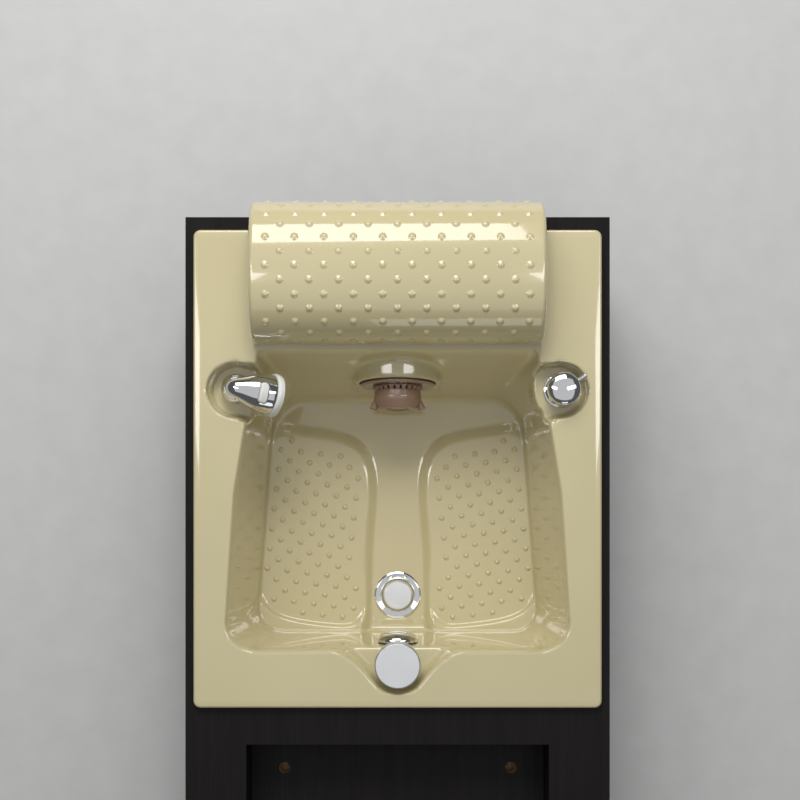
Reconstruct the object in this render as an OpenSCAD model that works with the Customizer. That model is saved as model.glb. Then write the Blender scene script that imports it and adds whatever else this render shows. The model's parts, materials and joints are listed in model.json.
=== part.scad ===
// Foot-spa basin unit: a moulded tub with taps, drain, jet and footrest, let into a boarded
// plinth that runs on behind the tub to carry a pedicure chair.
// Millimetres, +Z up, +Y towards the footrest, origin on the floor under the middle of the unit.

/* [Plinth] */
// Height of the deck's top above the floor
deck_z = 340; // [330:1:420]
// Thickness of the plinth's boards
board_t = 18; // [15:1:22]
// Gap under the boards, which the levelling feet hold open
foot_gap = 18; // [14:1:26]
// Height of the timber rails along the plinth's base
rail_h = 30; // [25:1:40]
// Width of the timber rails
rail_w = 40; // [30:1:50]

/* [Chair recess] */
// Width of the recess that takes the chair's base
recess_w = 428; // [350:1:510]
// Length of the recess
recess_len = 450; // [420:1:520]
// Depth of the recess below the deck
recess_depth = 75; // [60:1:90]
// Deck left between the tub's rim and the recess
recess_gap = 53.5; // [50:0.5:66]
// Deck left behind the recess, at the chair end
recess_rear_margin = 81; // [68:1:97]
// Thickness of the recess's floor board
recess_board_t = 27; // [22:1:33]
// Spacing of the chair's bolt holes across the unit
chair_bolts_x = 330; // [275:1:396]
// Spacing of the chair's bolt holes along the unit
chair_bolts_y = 356; // [296:1:400]
// Distance of the first pair of holes from the recess's front edge
chair_bolt_inset = 47; // [39:1:60]
// Radius of a chair bolt hole
chair_hole_r = 8; // [6:0.5:10]

/* [Tub rim] */
// Width of the tub over its rim
tub_w = 575; // [550:1:690]
// Length of the tub over its rim
tub_len = 673; // [640:1:808]
// Deck left on each side of the rim
tub_side_margin = 12.5; // [10:0.5:20]
// Deck left in front of the rim, at the footrest end
tub_front_margin = 19.5; // [16:0.5:24]
// Height of the rim's edge above the deck
rim_h = 12; // [10:0.5:15]
// Wall thickness of the moulding
shell_t = 6; // [5:0.5:7]
// Corner radius of the rim in plan
rim_corner_r = 10; // [8:1:14]

/* [Basin] */
// Depth from the rim to the channel between the foot platforms
basin_depth = 200; // [170:1:215]
// Height of the foot platforms above the channel
platform_h = 10; // [8:0.5:12]
// Width of rim between the basin and the footrest end
rim_front = 169.5; // [165:0.5:190]
// Width of rim behind the basin
rim_rear = 81.5; // [80:0.5:98]
// Width of rim beside the basin at its front, middle and rear
rim_side_front = 88.5; // [86:0.5:100]
// Width of rim beside the basin at its middle
rim_side_mid = 57.8; // [54:0.1:66]
// Width of rim beside the basin at its rear
rim_side_rear = 46.5; // [45:0.5:55]
// Half width of the channel at the drain
channel_half = 44; // [40:0.5:50]
// Radius of the platforms' rounded inner front corners
platform_corner_r = 46; // [38:1:55]

/* [Shelves] */
// Depth of the two tap pockets and of the rear notch below the rim
shelf_depth = 35; // [29:1:42]
// Radius of a tap pocket at the rim
pocket_r = 39; // [36:0.5:41]
// Distance of a pocket's centre from the rim's side edge
pocket_inset = 57.5; // [55:0.5:60]
// Distance of the pockets' centres behind the basin's front edge
pocket_back = 53; // [45:1:63]
// Radius of the notch round the drain knob
notch_r = 40; // [37:0.5:48]
// Distance of the knob's centre behind the basin's rear edge
knob_back = 21; // [17:0.5:25]

/* [Footrest] */
// Width of the footrest
footrest_w = 407; // [339:1:460]
// Length of the footrest from its lip to its nose
footrest_len = 203; // [186:1:210]
// Height of the crest above the rim
footrest_h = 85; // [70:1:102]
// Overhang of the nose past the plinth
footrest_overhang = 19; // [15:0.5:23]
// Height of the rubber buffers under the footrest
buffer_h = 5; // [4:0.5:6]

/* [Drain] */
// Radius of the drain flange
drain_r = 36; // [33:0.5:40]
// Radius of the drain's threaded tail
drain_tail_r = 24; // [22:0.5:26]
// Radius of the pop-up plug
plug_r = 22; // [20:0.5:22]
// Distance of the drain in front of the basin's rear edge
drain_front = 61.3; // [55:0.1:73]
// Radius of the drain knob
knob_r = 32.5; // [28:0.5:34]
// Height of the knob's top above the rim
knob_rise = 10; // [8:0.5:12]
// Radius of the domed overflow cap
overflow_r = 30; // [25:0.5:34]
// Depth of the overflow cap's centre below the underside of the notch's shelf
overflow_below_shelf = 39; // [38:1:48]
// Outer radius of the waste pipe
waste_r = 20; // [18:0.5:22]

/* [Taps] */
// Radius of the mixer's domed handle
mixer_r = 23; // [20:0.5:25]
// Height of the handle's top above the rim
mixer_rise = 28; // [24:1:34]
// Direction of the mixer's lever pin from the X axis, in degrees
mixer_pin_turn = 32; // [20:1:45]
// Largest radius of the sprayer's collar
sprayer_r = 31; // [27:0.5:33]
// Direction of the sprayer's nozzle from the X axis, in degrees
sprayer_turn = -15; // [-30:1:0]
// Downward pitch of the sprayer's head, in degrees
sprayer_pitch = 28; // [20:1:34]
// Radius of the threaded shanks under the taps and the knob
shank_r = 11; // [9.5:0.5:12]

/* [Jet] */
// Depth of the jet's centre below the rim
jet_drop = 92; // [85:1:100]
// Distance of the jet's seat behind the basin's front edge
jet_back = 42; // [38:0.5:48]
// Lean of the jet's seat from upright, in degrees
jet_tilt = 6; // [4:0.5:8]
// Radius of the jet's flange
jet_flange_r = 55; // [46:0.5:58]
// Radius of the jet's cap at its base
jet_cap_r = 36; // [34:0.5:40]
// Height of the jet's cap
jet_cap_h = 33; // [30:0.5:39]

/* [Access door] */
// Width of the door in the front panel
door_w = 380; // [320:1:440]
// Height of the door
door_h = 220; // [184:1:230]
// Gap round the door
door_gap = 2; // [1.5:0.5:3]

/* [Hidden] */
$fn = 64;

cream = "#d9d0a3";
espresso = "#2b2523";
chipboard = "#c2a27c";
timber = "#c9a26b";
chrome = "#d5d8db";
satin = "#a9adb1";
rubber = "#222222";
jet_plastic = "#9a7c6e";
white_plastic = "#eeeae2";
grey_plastic = "#6e7276";
brass = "#c3a04e";

// Play of a shaft or thread in its bore, gap between curved neighbours, and overshoot of a cut
fit = 0.05;
seam = 0.3;
cut = 1;

plinth_w = tub_w + 2 * tub_side_margin;
plinth_len = tub_front_margin + tub_len + recess_gap + recess_len + recess_rear_margin;
total_len = plinth_len + footrest_overhang;
plinth_front = total_len / 2 - footrest_overhang;
plinth_rear = -total_len / 2;
under_deck = deck_z - board_t;
rail_top = foot_gap + rail_h;
inside_half = plinth_w / 2 - board_t;
front_inside = plinth_front - board_t;
rear_inside = plinth_rear + board_t;

// The tub's own frame has its origin in the middle of the rim, on its top face
rim_z = deck_z + rim_h;
tub_y = plinth_front - tub_front_margin - tub_len / 2;
mouth_front = tub_len / 2 - rim_front;
mouth_rear = rim_rear - tub_len / 2;
floor_z = -basin_depth;
under_floor = floor_z - shell_t;
under_shelf = -shelf_depth - shell_t;
pocket_x = tub_w / 2 - pocket_inset;
pocket_y = mouth_front - pocket_back;
knob_y = mouth_rear - knob_back;
drain_y = mouth_rear + drain_front;
overflow_drop = overflow_below_shelf - under_shelf;

// Each basin corner is a circle: half distance across, place along, radius
mouth_corner_r = 14;
rear_corner_r = 38;
mid_corner_r = 20;
mid_corner_y = mouth_front - 204;
mouth_corners = [
    [tub_w / 2 - rim_side_front - mouth_corner_r, mouth_front - mouth_corner_r, mouth_corner_r],
    [tub_w / 2 - rim_side_mid - mid_corner_r, mid_corner_y, mid_corner_r],
    [tub_w / 2 - rim_side_rear - rear_corner_r, mouth_rear + rear_corner_r, rear_corner_r],
];
// Inward run of the side, front and rear walls from the mouth to the floor
side_run = 31;
front_run = 62;
rear_run = 6;
floor_front_side = 96.8;
floor_corner_r = 50;
floor_rear_half = tub_w / 2 - rim_side_rear - side_run;
floor_front_half = tub_w / 2 - floor_front_side;
floor_corners = [
    [floor_front_half - floor_corner_r, mouth_front - front_run - floor_corner_r, floor_corner_r],
    [floor_rear_half - rear_corner_r, mouth_rear + rear_run + rear_corner_r, rear_corner_r],
];
platform_setback = 54;
platform_front = mouth_front - front_run - platform_setback;
platform_front_outer = platform_front + 9;
channel_waist_y = drain_y + 84.7;

// The deck's opening for the tub stays inside the rim's skirt
deck_bearing = 8.5;
cutout_half = tub_w / 2 - deck_bearing;
cutout_front = mouth_front + 15;
cutout_rear = -tub_len / 2 + deck_bearing;

recess_front = tub_y - tub_len / 2 - recess_gap;
recess_mid = recess_front - recess_len / 2;
recess_z = deck_z - recess_depth;
chair_bolts_mid = recess_front - chair_bolt_inset - chair_bolts_y / 2;
bulkhead_y = tub_y - tub_len / 2;

// Hardware of the levelling feet, the brackets and the door
foot_pad_r = 20;
foot_pad_h = 8;
foot_stud_r = 5;
foot_stud_h = rail_h - 6;
foot_inset = 70;
foot_rows = [rear_inside + foot_inset, bulkhead_y + foot_inset, front_inside - foot_inset];
bracket_size = 40;
bracket_t = 2.5;
bracket_w = 30;
bracket_rows = [rear_inside + 20, recess_mid, bulkhead_y + 60, front_inside - 60];
door_mid_z = foot_gap + (under_deck - foot_gap) / 2;
hinge_h = 50;
hinge_inset = 45;
hinge_leaf_w = 24;
hinge_leaf_t = 1.5;
knuckle_r = 4;
hinge_pin_r = 2;
hinge_offsets = [hinge_inset - door_h / 2, door_h / 2 - hinge_inset];
door_hinge_x = -door_w / 2 - door_gap / 2;

footrest_front = mouth_front + rim_front + tub_front_margin + footrest_overhang;
footrest_mid = footrest_front - footrest_len / 2;
footrest_wall = 6;
footrest_power = 2.3;
footrest_bolt_r = 4;
footrest_boss_r = 14;
footrest_boss_h = 28;
footrest_bolt_x = footrest_w / 2 - footrest_wall - footrest_boss_r + 2;
footrest_bolt_rows = [footrest_mid - 52, footrest_mid + 52];

drain_flange_t = 3;
drain_bore_r = 20.5;
gasket_t = 1.5;
nut_t = 10;
trap_r = 50;
trap_h = 62;
trap_wall = 3;
trap_top = under_floor - gasket_t - nut_t - seam;
drain_tail_end = trap_top - 14;
plug_stem_r = 4;
plug_stem_end = drain_tail_end - 18;
waste_z = trap_top - 34;
waste_wall = 3;
waste_x = -112;
waste_end = 25 - rim_z;
overflow_tube_r = 14;
overflow_bore_r = 11;
overflow_back = mouth_rear - 30;
overflow_pipe_r = overflow_bore_r - fit;
overflow_pipe_wall = 2;
overflow_port_z = trap_top - 18;

stack_t = 3;
knob_shaft_r = 5;
knob_nut_z = under_shelf - nut_t - seam;
ball_r = 16;
ball_z = 4;
mixer_neck_z = -10;
mixer_x = pocket_x + 3;
mixer_y = pocket_y - 2;
mixer_skirt_z = -1;
pin_r = 3.5;
hose_r = 4.5;
shank_end = -95;
hose_start = shank_end - seam;

sprayer_neck_r = 12.5;
sprayer_elbow_z = 24;
sprayer_head_len = 66;
sprayer_tube_r = 6;
sprayer_tube_end = -150;
button_len = 29;
button_w = 12;
button_h = 6;
button_at = 38;

jet_y = mouth_front - jet_back;
jet_boss_r = 62.5;
jet_tail_r = 30;
jet_gasket_t = 1.5;
jet_flange_t = 4;
jet_face = jet_gasket_t + jet_flange_t;
jet_tail_end = -shell_t - 16;
jet_shaft_r = 4;
motor_r = 38;
motor_len = 92;
nozzle_spread = 18;

function unit(v) = v / norm(v);

// Points of a rounded rectangle in plan
function rounded_rect(w, l, r) = [
    for (corner = [[1, 1, 0], [-1, 1, 90], [-1, -1, 180], [1, -1, 270]])
        for (a = [0:15:90])
            [corner[0] * (w / 2 - r) + r * cos(corner[2] + a),
             corner[1] * (l / 2 - r) + r * sin(corner[2] + a)]
];

// Plan of the rear notch: an arc round the knob whose ends flare at 45 degrees into the basin
function notch_outline(r) =
    let (end_y = mouth_rear + 10,
         end_x = r * cos(45) + end_y - knob_y + r * sin(45))
    concat([[-end_x, end_y]],
           [for (a = [225:15:315]) [r * cos(a), knob_y + r * sin(a)]],
           [[end_x, end_y]]);

// Plan of the right foot platform, whose sides reach into the basin's wall
function platform_outline() =
    let (bite = shell_t / 2,
         corner = [channel_half - 2 + platform_corner_r, platform_front - platform_corner_r],
         rear = mouth_rear + rear_run - bite)
    concat([[channel_half + 8, rear], [channel_half + 4, channel_waist_y]],
           [for (a = [180:-15:90]) corner + platform_corner_r * [cos(a), sin(a)]],
           [[floor_front_half + bite, platform_front_outer],
            [floor_rear_half + bite, mouth_rear + rear_corner_r + rear_run],
            [floor_rear_half - 12, mouth_rear + 18],
            [floor_rear_half - rear_corner_r, rear]]);

// Half of an oval whose power squares it off, from its lip over its crest to its nose
function saddle(half, height) = [
    for (a = [180:-7.5:0])
        [half * sign(cos(a)) * pow(abs(cos(a)), 2 / footrest_power),
         height * pow(max(sin(a), 0), 2 / footrest_power)]
];

// A smooth curve through a route's points, and a tube of triangles swept along it
function along(p, i, t) =
    let (a = p[max(i - 1, 0)], b = p[i], c = p[i + 1], d = p[min(i + 2, len(p) - 1)])
    0.5 * (2 * b + (c - a) * t + (2 * a - 5 * b + 4 * c - d) * t * t
           + (3 * b - a - 3 * c + d) * t * t * t);
function smooth(p, steps) = concat(
    [for (i = [0:len(p) - 2]) for (k = [0:steps - 1]) along(p, i, k / steps)],
    [p[len(p) - 1]]
);
function headings(p, route) = concat(
    [unit(route[1] - route[0])],
    [for (i = [1:len(p) - 2]) unit(p[i + 1] - p[i - 1])],
    [unit(route[len(route) - 1] - route[len(route) - 2])]
);
function upright(v) = abs(v[2]) > 0.9 ? [1, 0, 0] : [0, 0, 1];
function carry(n, t) = unit(n - (n * t) * t);
function side_ways(t, i = 0, n = undef, out = []) =
    i == len(t) ? out
    : let (next = carry(is_undef(n) ? upright(t[0]) : n, t[i]))
      side_ways(t, i + 1, next, concat(out, [next]));

module route_tube(points, r, steps = 2, sides = 10) {
    path = smooth(points, steps);
    heading = headings(path, points);
    side = side_ways(heading);
    rings = len(path);
    ring_points = [
        for (i = [0:rings - 1]) for (k = [0:sides - 1])
            path[i] + r * (cos(360 * k / sides) * side[i]
                           + sin(360 * k / sides) * cross(heading[i], side[i]))
    ];
    walls = [
        for (i = [0:rings - 2]) for (k = [0:sides - 1])
            let (a = i * sides + k,
                 b = i * sides + (k + 1) % sides)
            for (face = [[a, a + sides, b], [b, a + sides, b + sides]]) face
    ];
    ends = [
        for (k = [1:sides - 2])
            for (face = [[0, k, k + 1],
                         [(rings - 1) * sides, (rings - 1) * sides + k + 1,
                          (rings - 1) * sides + k]]) face
    ];
    polyhedron(points = ring_points, faces = concat(walls, ends));
}

module ring(r, bore, h) {
    difference() {
        cylinder(r = r, h = h);
        translate([0, 0, -cut]) cylinder(r = bore, h = h + 2 * cut);
    }
}

module in_tub() {
    translate([0, tub_y, rim_z]) children();
}

module both_sides() {
    for (side = [-1, 1]) scale([side, 1, 1]) children();
}

// The jet's frame: +Z leaves the boss into the basin
module at_jet() {
    in_tub() translate([0, jet_y, -jet_drop]) rotate([90 - jet_tilt, 0, 0]) children();
}

// The sprayer's frame: +X runs along its head, away from the elbow
module at_sprayer_head() {
    in_tub() translate([-pocket_x, pocket_y, sprayer_elbow_z])
        rotate([0, 0, sprayer_turn]) rotate([0, sprayer_pitch, 0]) children();
}

// Plinth

module deck_panel() color(espresso) difference() {
    translate([-plinth_w / 2, plinth_rear, under_deck]) cube([plinth_w, plinth_len, board_t]);
    translate([-cutout_half, tub_y + cutout_rear, under_deck - cut])
        cube([2 * cutout_half, cutout_front - cutout_rear, board_t + 2 * cut]);
    translate([-recess_w / 2, recess_front - recess_len, under_deck - cut])
        cube([recess_w, recess_len, board_t + 2 * cut]);
    in_tub() footrest_bolt_places(-rim_h - board_t - cut)
        cylinder(r = footrest_bolt_r + fit, h = board_t + 2 * cut);
}

module side_panel() {
    translate([inside_half, plinth_rear, foot_gap])
        cube([board_t, plinth_len, under_deck - foot_gap]);
}

module side_panel_left() color(espresso) mirror([1, 0, 0]) side_panel();

module side_panel_right() color(espresso) side_panel();

module front_panel() color(espresso) difference() {
    translate([-inside_half, front_inside, foot_gap])
        cube([2 * inside_half, board_t, under_deck - foot_gap]);
    translate([-door_w / 2 - door_gap, front_inside - cut, door_mid_z - door_h / 2 - door_gap])
        cube([door_w + 2 * door_gap, board_t + 2 * cut, door_h + 2 * door_gap]);
}

gland_x = -200;
gland_z = 80;
gland_r = 10;

module rear_panel() color(espresso) difference() {
    translate([-inside_half, plinth_rear, foot_gap])
        cube([2 * inside_half, board_t, under_deck - foot_gap]);
    translate([gland_x, plinth_rear - cut, gland_z])
        rotate([-90, 0, 0]) cylinder(r = gland_r + fit, h = board_t + 2 * cut);
}

module bulkhead() color(chipboard) {
    translate([-inside_half, bulkhead_y - board_t, foot_gap])
        cube([2 * inside_half, board_t, under_deck - foot_gap]);
}

module base_rails() color(timber) both_sides() for (span = [[rear_inside, bulkhead_y - board_t],
                                                           [bulkhead_y, front_inside]])
    difference() {
        translate([inside_half - rail_w, span[0], foot_gap])
            cube([rail_w, span[1] - span[0], rail_h]);
        foot_places() translate([0, 0, foot_gap - cut])
            cylinder(r = foot_stud_r + fit, h = foot_stud_h + cut);
    }

module foot_places() {
    for (y = foot_rows)
        translate([inside_half - rail_w / 2, y, 0]) children();
}

module levelling_feet() color(grey_plastic) both_sides() foot_places() {
    cylinder(r = foot_pad_r, h = foot_pad_h);
    cylinder(r = foot_stud_r, h = foot_gap + foot_stud_h - 2);
    translate([0, 0, foot_gap - 6]) cylinder(r = 2 * foot_stud_r, h = 6, $fn = 6);
}

cradle_rows = [mouth_rear + 135, mouth_front - 133];
cradle_notch = [80, 30];

module tub_cradle() color(chipboard) in_tub() for (y = cradle_rows)
    difference() {
        translate([-inside_half, y - board_t / 2, rail_top - rim_z])
            cube([2 * inside_half, board_t, rim_z - rail_top + under_floor]);
        translate([-cradle_notch[0] / 2, y - board_t, rail_top - rim_z - cut])
            cube([cradle_notch[0], 2 * board_t, cradle_notch[1] + cut]);
    }

module recess_floor() color(espresso) difference() {
    translate([seam - recess_w / 2, recess_front - recess_len + seam, recess_z - recess_board_t])
        cube([recess_w - 2 * seam, recess_len - 2 * seam, recess_board_t]);
    for (x = [-1, 1], y = [-1, 1])
        translate([x * chair_bolts_x / 2, chair_bolts_mid + y * chair_bolts_y / 2,
                   recess_z - recess_board_t - cut])
            cylinder(r = chair_hole_r, h = recess_board_t + 2 * cut);
}

module recess_walls() color(espresso) {
    wall_z = recess_z - recess_board_t;
    wall_h = under_deck - wall_z;
    both_sides() translate([recess_w / 2, recess_front - recess_len - board_t, wall_z])
        cube([board_t, recess_len + 2 * board_t, wall_h]);
    for (y = [recess_front, recess_front - recess_len - board_t])
        translate([-recess_w / 2, y, wall_z]) cube([recess_w, board_t, wall_h]);
}

bearer_inset = 60;

module chair_bearers() color(timber)
    for (y = [recess_front - bearer_inset, recess_front - recess_len + bearer_inset])
        translate([-inside_half, y - rail_w / 2, recess_z - recess_board_t - rail_w])
            cube([2 * inside_half, rail_w, rail_w]);

module corner_bracket() {
    difference() {
        cube([bracket_size, bracket_w, bracket_size]);
        translate([-cut, -cut, -cut])
            cube([bracket_size - bracket_t + cut, bracket_w + 2 * cut,
                  bracket_size - bracket_t + cut]);
    }
}

module corner_brackets() color(satin) both_sides()
    for (y = bracket_rows)
        translate([inside_half - bracket_size, y - bracket_w / 2, under_deck - bracket_size])
            corner_bracket();

// Access door and its hinges

module access_door() color(espresso)
    translate([-door_w / 2, front_inside, door_mid_z - door_h / 2])
        cube([door_w, board_t, door_h]);

// A surface leaf: a plate beside the hinge line, with knuckles at the given heights
module hinge_leaf(side, knuckles, bore) {
    difference() {
        union() {
            translate([side > 0 ? knuckle_r + seam : -hinge_leaf_w, 0, -hinge_h / 2])
                cube([hinge_leaf_w - knuckle_r - seam, hinge_leaf_t, hinge_h]);
            for (z = knuckles) translate([0, 0, z[0]]) {
                translate([0, knuckle_r, 0]) cylinder(r = knuckle_r, h = z[1]);
                translate([side > 0 ? 0 : -knuckle_r - cut, 0, 0])
                    cube([knuckle_r + cut, hinge_leaf_t, z[1]]);
            }
        }
        translate([0, knuckle_r, -hinge_h / 2 - cut])
            cylinder(r = bore, h = hinge_h + 2 * cut);
    }
}

module hinge_places() {
    for (z = hinge_offsets) translate([door_hinge_x, plinth_front, door_mid_z + z]) children();
}

knuckle_h = (hinge_h - 2 * seam) / 3;

module hinge_leaves() color(satin) hinge_places()
    hinge_leaf(-1, [[-hinge_h / 2, knuckle_h], [hinge_h / 2 - knuckle_h, knuckle_h]],
               hinge_pin_r + fit);

module door_leaves() color(satin) hinge_places()
    hinge_leaf(1, [[-knuckle_h / 2, knuckle_h]], hinge_pin_r + fit);

module hinge_pins() color(satin) hinge_places() translate([0, knuckle_r, 0]) {
    translate([0, 0, -hinge_h / 2]) cylinder(r = hinge_pin_r, h = hinge_h);
    translate([0, 0, hinge_h / 2]) cylinder(r = hinge_pin_r + 1, h = 1.5);
}

pull_r = 12;
pull_h = 10;
pull_inset = 35;

module door_pull() color(satin)
    translate([door_w / 2 - pull_inset, plinth_front, door_mid_z]) rotate([-90, 0, 0]) {
        cylinder(r = pull_r / 2, h = pull_h);
        translate([0, 0, pull_h - 4]) cylinder(r = pull_r, h = 4);
    }

catch_size = [44, 14, 16];
catch_inset = 30;

module door_catch() color(white_plastic)
    translate([door_w / 2 - catch_inset, front_inside - catch_size[1], door_mid_z - catch_size[2] / 2])
        cube(catch_size);

module cable_gland() color(rubber) translate([gland_x, plinth_rear, gland_z]) rotate([-90, 0, 0]) {
    ring(gland_r, 5, board_t);
    translate([0, 0, board_t]) ring(gland_r + 4, 5, 5);
}

// Tub

// The basin's hollow, or its outside when grown, from the mouth down to the floor
module basin_solid(grow, top) {
    hull() for (side = [-1, 1]) {
        for (c = mouth_corners)
            translate([side * c[0], c[1], top - cut]) cylinder(r = c[2] + grow, h = cut, $fn = 32);
        for (c = floor_corners)
            translate([side * c[0], c[1], floor_z - grow])
                cylinder(r = c[2] + grow, h = cut, $fn = 32);
    }
}

module rim() difference() {
    translate([0, 0, -rim_h]) linear_extrude(rim_h)
        polygon(rounded_rect(tub_w, tub_len, rim_corner_r));
    translate([-tub_w / 2 + shell_t, -tub_len / 2 + shell_t, -rim_h - cut])
        cube([tub_w - 2 * shell_t, tub_len - 2 * shell_t, rim_h - shell_t + cut]);
}

// Mouldings that stand out of the basin's walls: a corbel under each tap pocket, the jet's boss
shelf_lip_r = 36;
corbel_h = 55;

module mouldings() intersection() {
    basin_solid(shell_t / 2, -cut);
    union() {
        both_sides() translate([pocket_x, pocket_y, under_shelf]) {
            cylinder(r = shelf_lip_r, h = shell_t);
            translate([0, 0, -corbel_h]) cylinder(r1 = shelf_lip_r - 24, r2 = shelf_lip_r, h = corbel_h);
        }
        translate([0, jet_y, -jet_drop]) rotate([90 - jet_tilt, 0, 0])
            translate([0, 0, -65]) cylinder(r = jet_boss_r, h = 65);
    }
}

module tub_body() {
    difference() {
        union() {
            rim();
            basin_solid(shell_t, -cut);
            both_sides() translate([pocket_x, pocket_y, under_shelf])
                cylinder(r = pocket_r + shell_t, h = -under_shelf - cut);
            translate([0, 0, under_shelf]) linear_extrude(-under_shelf - cut)
                polygon(notch_outline(notch_r + shell_t));
        }
        basin_solid(0, cut);
    }
    mouldings();
    both_sides() translate([0, 0, floor_z - shell_t / 2])
        linear_extrude(platform_h + shell_t / 2) polygon(platform_outline());
}

module tub() color(cream) in_tub() difference() {
    tub_body();
    both_sides() translate([pocket_x, pocket_y, -shelf_depth])
        cylinder(r = pocket_r, h = shelf_depth + cut);
    translate([0, 0, -shelf_depth]) linear_extrude(shelf_depth + cut)
        polygon(notch_outline(notch_r));
    for (place = [[mixer_x, mixer_y], [-pocket_x, pocket_y], [0, knob_y]])
        translate([place[0], place[1], under_shelf - cut])
            cylinder(r = shank_r + fit, h = shell_t + 2 * cut);
    translate([0, drain_y, under_floor - cut])
        cylinder(r = drain_tail_r + fit, h = shell_t + 2 * cut);
    translate([0, mouth_rear + 20, -overflow_drop])
        rotate([90, 0, 0]) cylinder(r = overflow_tube_r + fit, h = 40);
    translate([0, jet_y, -jet_drop]) rotate([90 - jet_tilt, 0, 0]) {
        translate([0, 0, -90]) cylinder(r = jet_boss_r - shell_t, h = 90 - shell_t);
        translate([0, 0, -20]) cylinder(r = jet_tail_r + fit, h = 30);
    }
    footrest_bolt_places(-shell_t - cut)
        cylinder(r = footrest_bolt_r + fit, h = shell_t + 2 * cut);
}

// Footrest

module footrest_bolt_places(z) {
    both_sides() for (y = footrest_bolt_rows) translate([footrest_bolt_x, y, z]) children();
}

module saddle_solid(w, half, height) {
    translate([-w / 2, footrest_mid, buffer_h]) rotate([90, 0, 90])
        linear_extrude(w) polygon(saddle(half, height));
}

module footrest() color(cream) in_tub() difference() {
    union() {
        difference() {
            saddle_solid(footrest_w, footrest_len / 2, footrest_h - buffer_h);
            translate([0, 0, -cut / 2])
                saddle_solid(footrest_w - 2 * footrest_wall, footrest_len / 2 - footrest_wall,
                             footrest_h - buffer_h - footrest_wall);
        }
        footrest_bolt_places(buffer_h) cylinder(r = footrest_boss_r, h = footrest_boss_h);
    }
    footrest_bolt_places(buffer_h - cut)
        cylinder(r = footrest_bolt_r + fit, h = footrest_boss_h - 6 + cut);
}

module footrest_buffers() color(rubber) in_tub() footrest_bolt_places(0)
    ring(footrest_boss_r, footrest_bolt_r + fit, buffer_h);

module footrest_bolts() color(satin) in_tub() footrest_bolt_places(-rim_h - board_t) {
    cylinder(r = footrest_bolt_r, h = rim_h + board_t + buffer_h + footrest_boss_h - 8);
    translate([0, 0, -6]) cylinder(r = 2 * footrest_bolt_r, h = 6, $fn = 6);
}

// Drain, overflow and waste

module drain_flange() color(chrome) in_tub() translate([0, drain_y, 0]) difference() {
    union() {
        translate([0, 0, floor_z]) cylinder(r = drain_r, h = drain_flange_t);
        translate([0, 0, drain_tail_end]) cylinder(r = drain_tail_r, h = floor_z - drain_tail_end);
    }
    difference() {
        translate([0, 0, drain_tail_end - cut])
            cylinder(r = drain_bore_r, h = floor_z - drain_tail_end + drain_flange_t + 2 * cut);
        translate([0, 0, drain_tail_end]) {
            cylinder(r = plug_stem_r + 3, h = 6);
            for (turn = [0, 90]) rotate([0, 0, turn])
                translate([-drain_tail_r, -1.5, 0]) cube([2 * drain_tail_r, 3, 6]);
        }
    }
    translate([0, 0, drain_tail_end - cut]) cylinder(r = plug_stem_r + fit, h = 6 + 2 * cut);
}

module drain_gasket() color(rubber) in_tub()
    translate([0, drain_y, under_floor - gasket_t])
        ring(drain_tail_r + 10, drain_tail_r + fit, gasket_t);

module drain_nut() color(brass) in_tub() translate([0, drain_y, under_floor - gasket_t - nut_t])
    difference() {
        cylinder(r = drain_tail_r + 10, h = nut_t, $fn = 8);
        translate([0, 0, -cut]) cylinder(r = drain_tail_r + fit, h = nut_t + 2 * cut);
    }

plug_head_t = 6;

module drain_plug() color(chrome) in_tub() translate([0, drain_y, floor_z + drain_flange_t]) {
    translate([0, 0, seam]) cylinder(r1 = plug_r, r2 = plug_r - 2, h = plug_head_t);
    translate([0, 0, -4]) cylinder(r = drain_bore_r - seam, h = 4 + 2 * seam);
    translate([0, 0, plug_stem_end - floor_z - drain_flange_t])
        cylinder(r = plug_stem_r, h = floor_z + drain_flange_t - plug_stem_end);
}

module trap() color(white_plastic) in_tub() translate([0, drain_y, 0]) difference() {
    union() {
        translate([0, 0, trap_top - trap_h]) cylinder(r = trap_r, h = trap_h);
        translate([0, 0, waste_z]) rotate([0, -90, 0]) cylinder(r = waste_r, h = trap_r + 28);
        translate([0, 0, overflow_port_z]) rotate([90, 0, 0])
            cylinder(r = overflow_tube_r, h = trap_r + 14);
    }
    difference() {
        translate([0, 0, trap_top - trap_h + trap_wall])
            cylinder(r = trap_r - trap_wall, h = trap_h - 2 * trap_wall);
        translate([0, 0, trap_top - 8]) cylinder(r = drain_tail_r + 4, h = 8);
    }
    translate([0, 0, trap_top - 10]) cylinder(r = drain_tail_r + fit, h = 10 + cut);
    translate([0, 0, waste_z]) rotate([0, -90, 0])
        translate([0, 0, trap_r - 2 * trap_wall])
            cylinder(r = waste_r - waste_wall, h = 40);
    translate([0, 0, overflow_port_z]) rotate([90, 0, 0])
        translate([0, 0, trap_r - 2 * trap_wall]) cylinder(r = overflow_bore_r, h = 40);
}

module slip_nut() color(grey_plastic) in_tub()
    translate([-trap_r - 16, drain_y, waste_z]) rotate([0, -90, 0])
        ring(waste_r + 7, waste_r + fit, 24);

// An elbow: a run along -Z that has turned from +X, about the elbow's centre
module elbow(r, run_x, run_z) {
    sphere(r = r);
    rotate([0, 90, 0]) cylinder(r = r, h = run_x);
    translate([0, 0, -run_z]) cylinder(r = r, h = run_z);
}

// The pipe ends in a spigot, a little thinner, that a drain hose or socket slips over
spigot_len = 30;
spigot_step = 1;

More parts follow.
